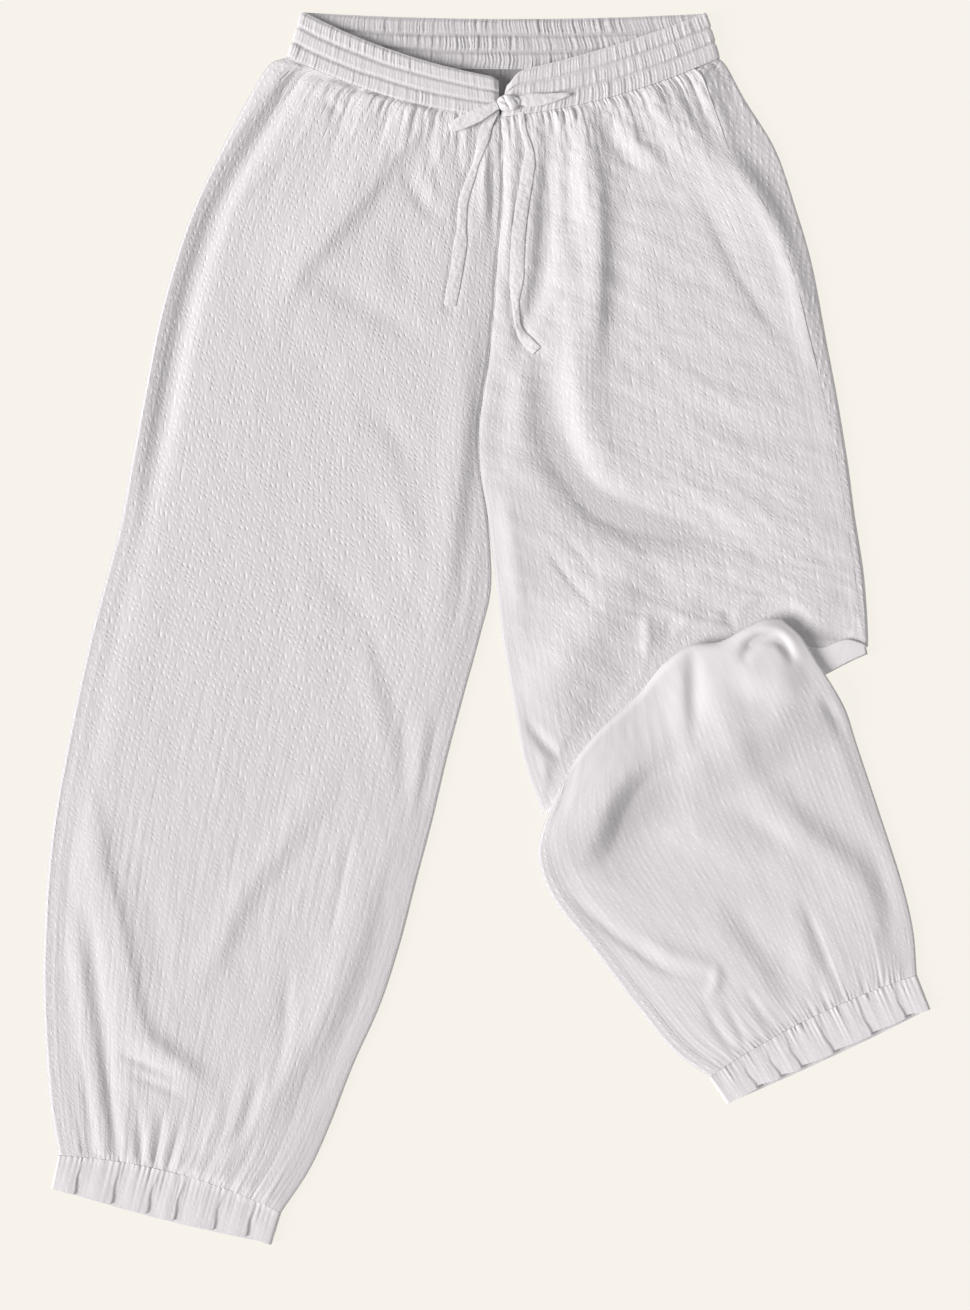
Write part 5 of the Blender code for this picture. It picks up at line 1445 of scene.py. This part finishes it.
def stitch_tree():
    """Nodes that set one short stitch of thread after another along every line of a mesh."""
    tree = bpy.data.node_groups.new("stitch_line", "GeometryNodeTree")
    tree.interface.new_socket("Line", in_out="INPUT", socket_type="NodeSocketGeometry")
    for name in ("Pitch", "Length", "Thickness"):
        tree.interface.new_socket(name, in_out="INPUT", socket_type="NodeSocketFloat")
    tree.interface.new_socket("Thread", in_out="INPUT", socket_type="NodeSocketMaterial")
    tree.interface.new_socket("Stitches", in_out="OUTPUT", socket_type="NodeSocketGeometry")
    given = tree.nodes.new("NodeGroupInput")
    line = tree.nodes.new("GeometryNodeMeshToCurve")
    spots = tree.nodes.new("GeometryNodeCurveToPoints")
    spots.mode = "LENGTH"
    shape = tree.nodes.new("GeometryNodeMeshUVSphere")
    for name, value in (("Segments", 8), ("Rings", 5), ("Radius", 0.5)):
        shape.inputs[name].default_value = value
    size = tree.nodes.new("ShaderNodeCombineXYZ")
    turned = tree.nodes.new("FunctionNodeAlignRotationToVector")
    turned.axis = "X"
    placed = tree.nodes.new("GeometryNodeInstanceOnPoints")
    real = tree.nodes.new("GeometryNodeRealizeInstances")
    painted = tree.nodes.new("GeometryNodeSetMaterial")
    result = tree.nodes.new("NodeGroupOutput")
    for start, output, end, entry in (
        (given, "Line", line, "Mesh"), (line, "Curve", spots, "Curve"), (given, "Pitch", spots, "Length"),
        (spots, "Points", placed, "Points"), (shape, "Mesh", placed, "Instance"),
        (spots, "Tangent", turned, "Vector"), (turned, "Rotation", placed, "Rotation"),
        (given, "Length", size, "X"), (given, "Thickness", size, "Y"), (given, "Thickness", size, "Z"),
        (size, "Vector", placed, "Scale"), (placed, "Instances", real, "Geometry"),
        (real, "Geometry", painted, "Geometry"), (given, "Thread", painted, "Material"),
        (painted, "Geometry", result, "Stitches"),
    ):
        tree.links.new(start.outputs[output], end.inputs[entry])
    return tree


def stitch_lines(table, levels, start, below, top):
    """Lines across a band or frill at some distances below its upper edge, on the cloth that shows."""
    rows = Sections(table, BAND_ALONG, start)
    count = round(rows.width.max() / STITCH_LINE_STEP)
    plan = rows.plan(middle_columns(np.full_like(rows.width, 1.5), rows.width - 1.5, count))
    lines = []
    for level in levels:
        row = plan[np.abs(rows.at - level).argmin()]
        high = np.array([below(*spot) for spot in row])
        seen = high > np.array([top(*spot) for spot in row]) - 0.01
        lines.append(lifted(row, high - STITCH_SUNK)[seen & (high > 0.5)])
    return lines


def sew(name, lines, tree, thread):
    """Stitches along some lines, as one mesh."""
    points = np.concatenate(lines) * MM
    ends = np.cumsum([len(line) for line in lines])
    edges = [(k, k + 1) for k in range(len(points) - 1) if k + 1 not in ends]
    mesh = bpy.data.meshes.new(name + "_lines")
    mesh.from_pydata(points.tolist(), edges, [])
    source = add_object(name + "_lines", mesh)
    modifier = source.modifiers.new("stitches", "NODES")
    modifier.node_group = tree
    for socket in tree.interface.items_tree:
        if socket.name in STITCH_SIZES:
            modifier[socket.identifier] = STITCH_SIZES[socket.name] * MM
        elif socket.name == "Thread":
            modifier[socket.identifier] = thread
    bpy.context.view_layer.update()
    ready = source.evaluated_get(bpy.context.evaluated_depsgraph_get())
    sewn = bpy.data.meshes.new_from_object(ready)
    bpy.data.objects.remove(source)
    sewn.shade_smooth()
    return declare(add_object(name, sewn), "seersucker")


def dress_seams(band, frills):
    """Stitch lines of the elastic channels and the ankle elastic, by the name of the piece they are on."""
    tree, thread = stitch_tree(), sewing_thread()
    all_bands = surface_below(band)
    sewn = {}
    for piece, table in zip(band, (BAND_FRONT_RIGHT, BAND_FRONT_LEFT, BAND_BACK)):
        lines = stitch_lines(table, CHANNEL_SEAMS, 0, surface_below([piece]), all_bands)
        sewn[piece.name] = sew("stitches_" + piece.name, lines, tree, thread)
    for piece, frill in zip(frills[::2], FRILLS):
        below = surface_below([piece])
        lines = stitch_lines(frill.table, ANKLE_SEAM, SEAM_GAP, below, below)
        sewn[piece.name] = sew("stitches_" + piece.name, lines, tree, thread)
    return sewn


def declare_sheets(pieces, sewn, layers):
    for piece in pieces:
        extra = [sewn[piece.name]] if piece.name in sewn else []
        if piece.name == "leg_left_front":
            extra.append(layers)


def place_camera():
    camera = bpy.data.cameras.new("overhead")
    camera.lens = CAMERA_LENS
    camera.sensor_width = SENSOR
    eye = add_object("overhead", camera)
    distance = CAMERA_LENS / SENSOR * VIEW_HEIGHT + EDGE_LOFT / 2
    eye.location = (VIEW_CENTRE[0] * MM, VIEW_CENTRE[1] * MM, distance * MM)
    bpy.context.scene.camera = eye


def light_studio():
    """Soft light from the left and above, with the room's pale light from all round."""
    world = bpy.data.worlds.new("studio")
    bpy.context.scene.world = world
    world.use_nodes = True
    sky = world.node_tree.nodes["Background"]
    sky.inputs["Color"].default_value = (*LIGHT_COLOUR, 1)
    sky.inputs["Strength"].default_value = ROOM_STRENGTH
    key = bpy.data.lights.new("window", "SUN")
    key.color = LIGHT_COLOUR
    key.energy = WINDOW_STRENGTH
    key.angle = math.radians(WINDOW_SPREAD)
    towards = Vector(WINDOW_HEADING)
    add_object("window", key).rotation_euler = towards.to_track_quat("-Z", "Y").to_euler()
    bpy.context.scene.view_settings.view_transform = "Standard"
    bpy.context.scene.view_settings.look = "None"


def lay_floor():
    """A plain pale surface that glows evenly, so that it takes only a faint shadow."""
    sides = ((-1, -1), (1, -1), (1, 1), (-1, 1))
    corners = [(x * FLOOR_SIZE, y * FLOOR_SIZE, -FLOOR_DEPTH) for x, y in sides]
    mesh = bpy.data.meshes.new("floor")
    mesh.from_pydata(corners, [], [(0, 1, 2, 3)])
    mesh.materials.append(new_material("pale_paper", {
        "Base Color": (0.06, 0.058, 0.054, 1), "Roughness": 1.0, "Specular IOR Level": 0.0,
        "Emission Color": (0.93, 0.896, 0.831, 1), "Emission Strength": FLOOR_GLOW,
    })[0])
    add_object("floor", mesh)


def right_puff(share, t):
    """Puckers show less down the right leg, where the cloth is drawn lengthwise."""
    inseam = smoothstep((share - 0.8) / 0.15) * smoothstep(t / 300)
    return 1.15 - 0.55 * smoothstep((t - 420) / 260) - 0.35 * inseam


def left_puff(share, t):
    """The left leg is smooth along the inside of the thigh and beside the side seam."""
    inseam = smoothstep((0.17 - share) / 0.1) * smoothstep((t - 250) / 120)
    return 0.85 * (1 - 0.75 * inseam - 0.5 * smoothstep((share - 0.86) / 0.04))


def shin_puff(share, t):
    """The shin is drawn smooth where it turns over at the knee."""
    return 0.34 * (1 - 0.95 * smoothstep((60 - t) / 30))


def matched(table, waist):
    """Rows of a back panel, and the rows of the front that its rolled strip keeps to, one for one."""
    rows = Sections([waist, *table[1:]], BACK_ALONG, SEAM_GAP, dense=WAIST_ROWS)
    tops = Sections(table, BACK_ALONG, SEAM_GAP, dense=WAIST_ROWS)
    tops.at = rows.at
    tops.read(table, rows.reach)
    return rows, tops


def dress_legs():
    cloth = seersucker("leg_seersucker", 0.36)
    # A darker copy of the cloth for the inner side of the back panels: painted shade where it shows through
    # the open waist.
    inside = seersucker("leg_inside_painted_shade", 0.3, painted_brightness=0.84)
    folds = RIGHT_THIGH_FOLDS + CALF_FOLDS
    rows = Sections(RIGHT_LEG, RIGHT_ALONG, SEAM_GAP)
    right = front_panel("leg_right_front", rows, folds, cloth, RIGHT_LOOK, 3, False, right_puff,
                        WAIST_GATHERS, ANKLE_GATHERS, band_seed=133)
    declare(right, "seersucker", "front_right")
    rows, tops = matched(RIGHT_LEG, BACK_WAIST_RIGHT)
    right_back = back_panel("leg_right_back", rows, tops, folds, cloth, RIGHT_LOOK, False, inside)
    declare(right_back, "seersucker", "back_right")
    rows = Sections(LEFT_LEG, LEFT_ALONG, SEAM_GAP)
    left = front_panel("leg_left_front", rows, LEFT_THIGH_FOLDS, cloth, LEFT_LOOK, 4, True, left_puff,
                       WAIST_GATHERS, cap=below_shin, band_seed=143)
    declare(left, "seersucker", "front_left")
    rows, tops = matched(LEFT_LEG, BACK_WAIST_LEFT)
    left_back = back_panel("leg_left_back", rows, tops, LEFT_THIGH_FOLDS, cloth, LEFT_LOOK, True, inside)
    declare(left_back, "seersucker", "back_left")
    return [right, right_back, left, left_back]


def dress_shin():
    cloth = seersucker("shin_seersucker", 0.3, wrinkle=0.28)
    # A lighter copy of the cloth for the layers at the knee: painted light.
    layers = knee_fold(seersucker("knee_seersucker_painted_light", 0.3, painted_brightness=1.13))
    declare(layers, "seersucker", "knee_fold_left")
    top = Sections(LEFT_SHIN, SHIN_ALONG, 0, SHIN_EDGE, SHIN_BOW_REACH, SHIN_ROLL)
    front = front_panel("shin_left_front", top, SHIN_FOLDS, cloth, SHIN_LOOK, 4, False, shin_puff,
                        ankle=SHIN_ANKLE_GATHERS, base=shin_base, rolled=True)
    declare(front, "seersucker", "shin_front_left")
    rows = Sections(LEFT_SHIN, BACK_ALONG, SHIN_BACK_SETBACK, SHIN_EDGE, SHIN_BOW_REACH)
    back = back_panel("shin_left_back", rows, rows, SHIN_FOLDS, cloth, SHIN_LOOK, False, base=shin_base)
    declare(back, "seersucker", "shin_back_left")
    return layers, [front, back]


def dress_waistband():
    cloth = seersucker("waistband_seersucker", 0.12, 0.6, 0)
    # A darker copy of the band's cloth for the back band: painted shade on the inner side of the waist.
    inside = seersucker("waistband_inside_painted_shade", 0.12, 0.6, 0, 0.88)
    pieces = [
        band_piece("band_right_front", BAND_FRONT_RIGHT, FRONT_CREASES, (True, False), True, cloth, 131,
                   (0.7, 0.4, 0.85)),
        band_piece("band_left_front", BAND_FRONT_LEFT, FRONT_CREASES, (False, True), True, cloth, 141,
                   (0.75, 0.6, 0.85)),
        band_piece("band_back", BAND_BACK, BACK_CREASES, (True, True), False, inside, 151,
                   (1.1, 1, 1.1)),
    ]
    for piece, node in zip(pieces, ("waistband_front_right", "waistband_front_left", "waistband_back")):
        declare(piece, "seersucker", node)
    return pieces


def dress_frills():
    # A slightly lighter copy of the cloth for the frills: painted light.
    cloth = seersucker("frill_seersucker_painted_light", 0.25, wrinkle=0.3, painted_brightness=1.03)
    pieces = []
    for frill in FRILLS:
        for layer in ("front", "back"):
            piece = frill_piece(f"frill_{frill.side}_{layer}", frill, layer == "front", cloth)
            pieces.append(declare(piece, "seersucker", f"frill_{layer}_{frill.side}"))
    return pieces


def dress_drawstring(laid):
    cotton = tape_cotton("drawstring_cotton")
    below = surface_below(laid)
    tied = declare(knot(below, cotton), "drawstring_tape", "drawstring_knot")
    tails = [tape_tail(tail, below, cotton) for tail in TAILS]
    below = surface_below(laid + [piece for piece, _ in tails])
    loops = [tape_loop(loop, below, cotton) for loop in LOOPS]
    for piece in [tails[0][0], tails[1][0], *loops]:
        declare(piece, "drawstring_tape", "drawstring_" + piece.name)
    for (piece, path), extra in zip(tails, ([tied, loops[0]], [loops[1]])):
        path = path * MM


place_camera()
light_studio()
lay_floor()
legs = dress_legs()
layers, shin = dress_shin()
band = dress_waistband()
frills = dress_frills()
dress_drawstring(legs + band)
declare_sheets(legs + shin + band + frills, dress_seams(band, frills), layers)
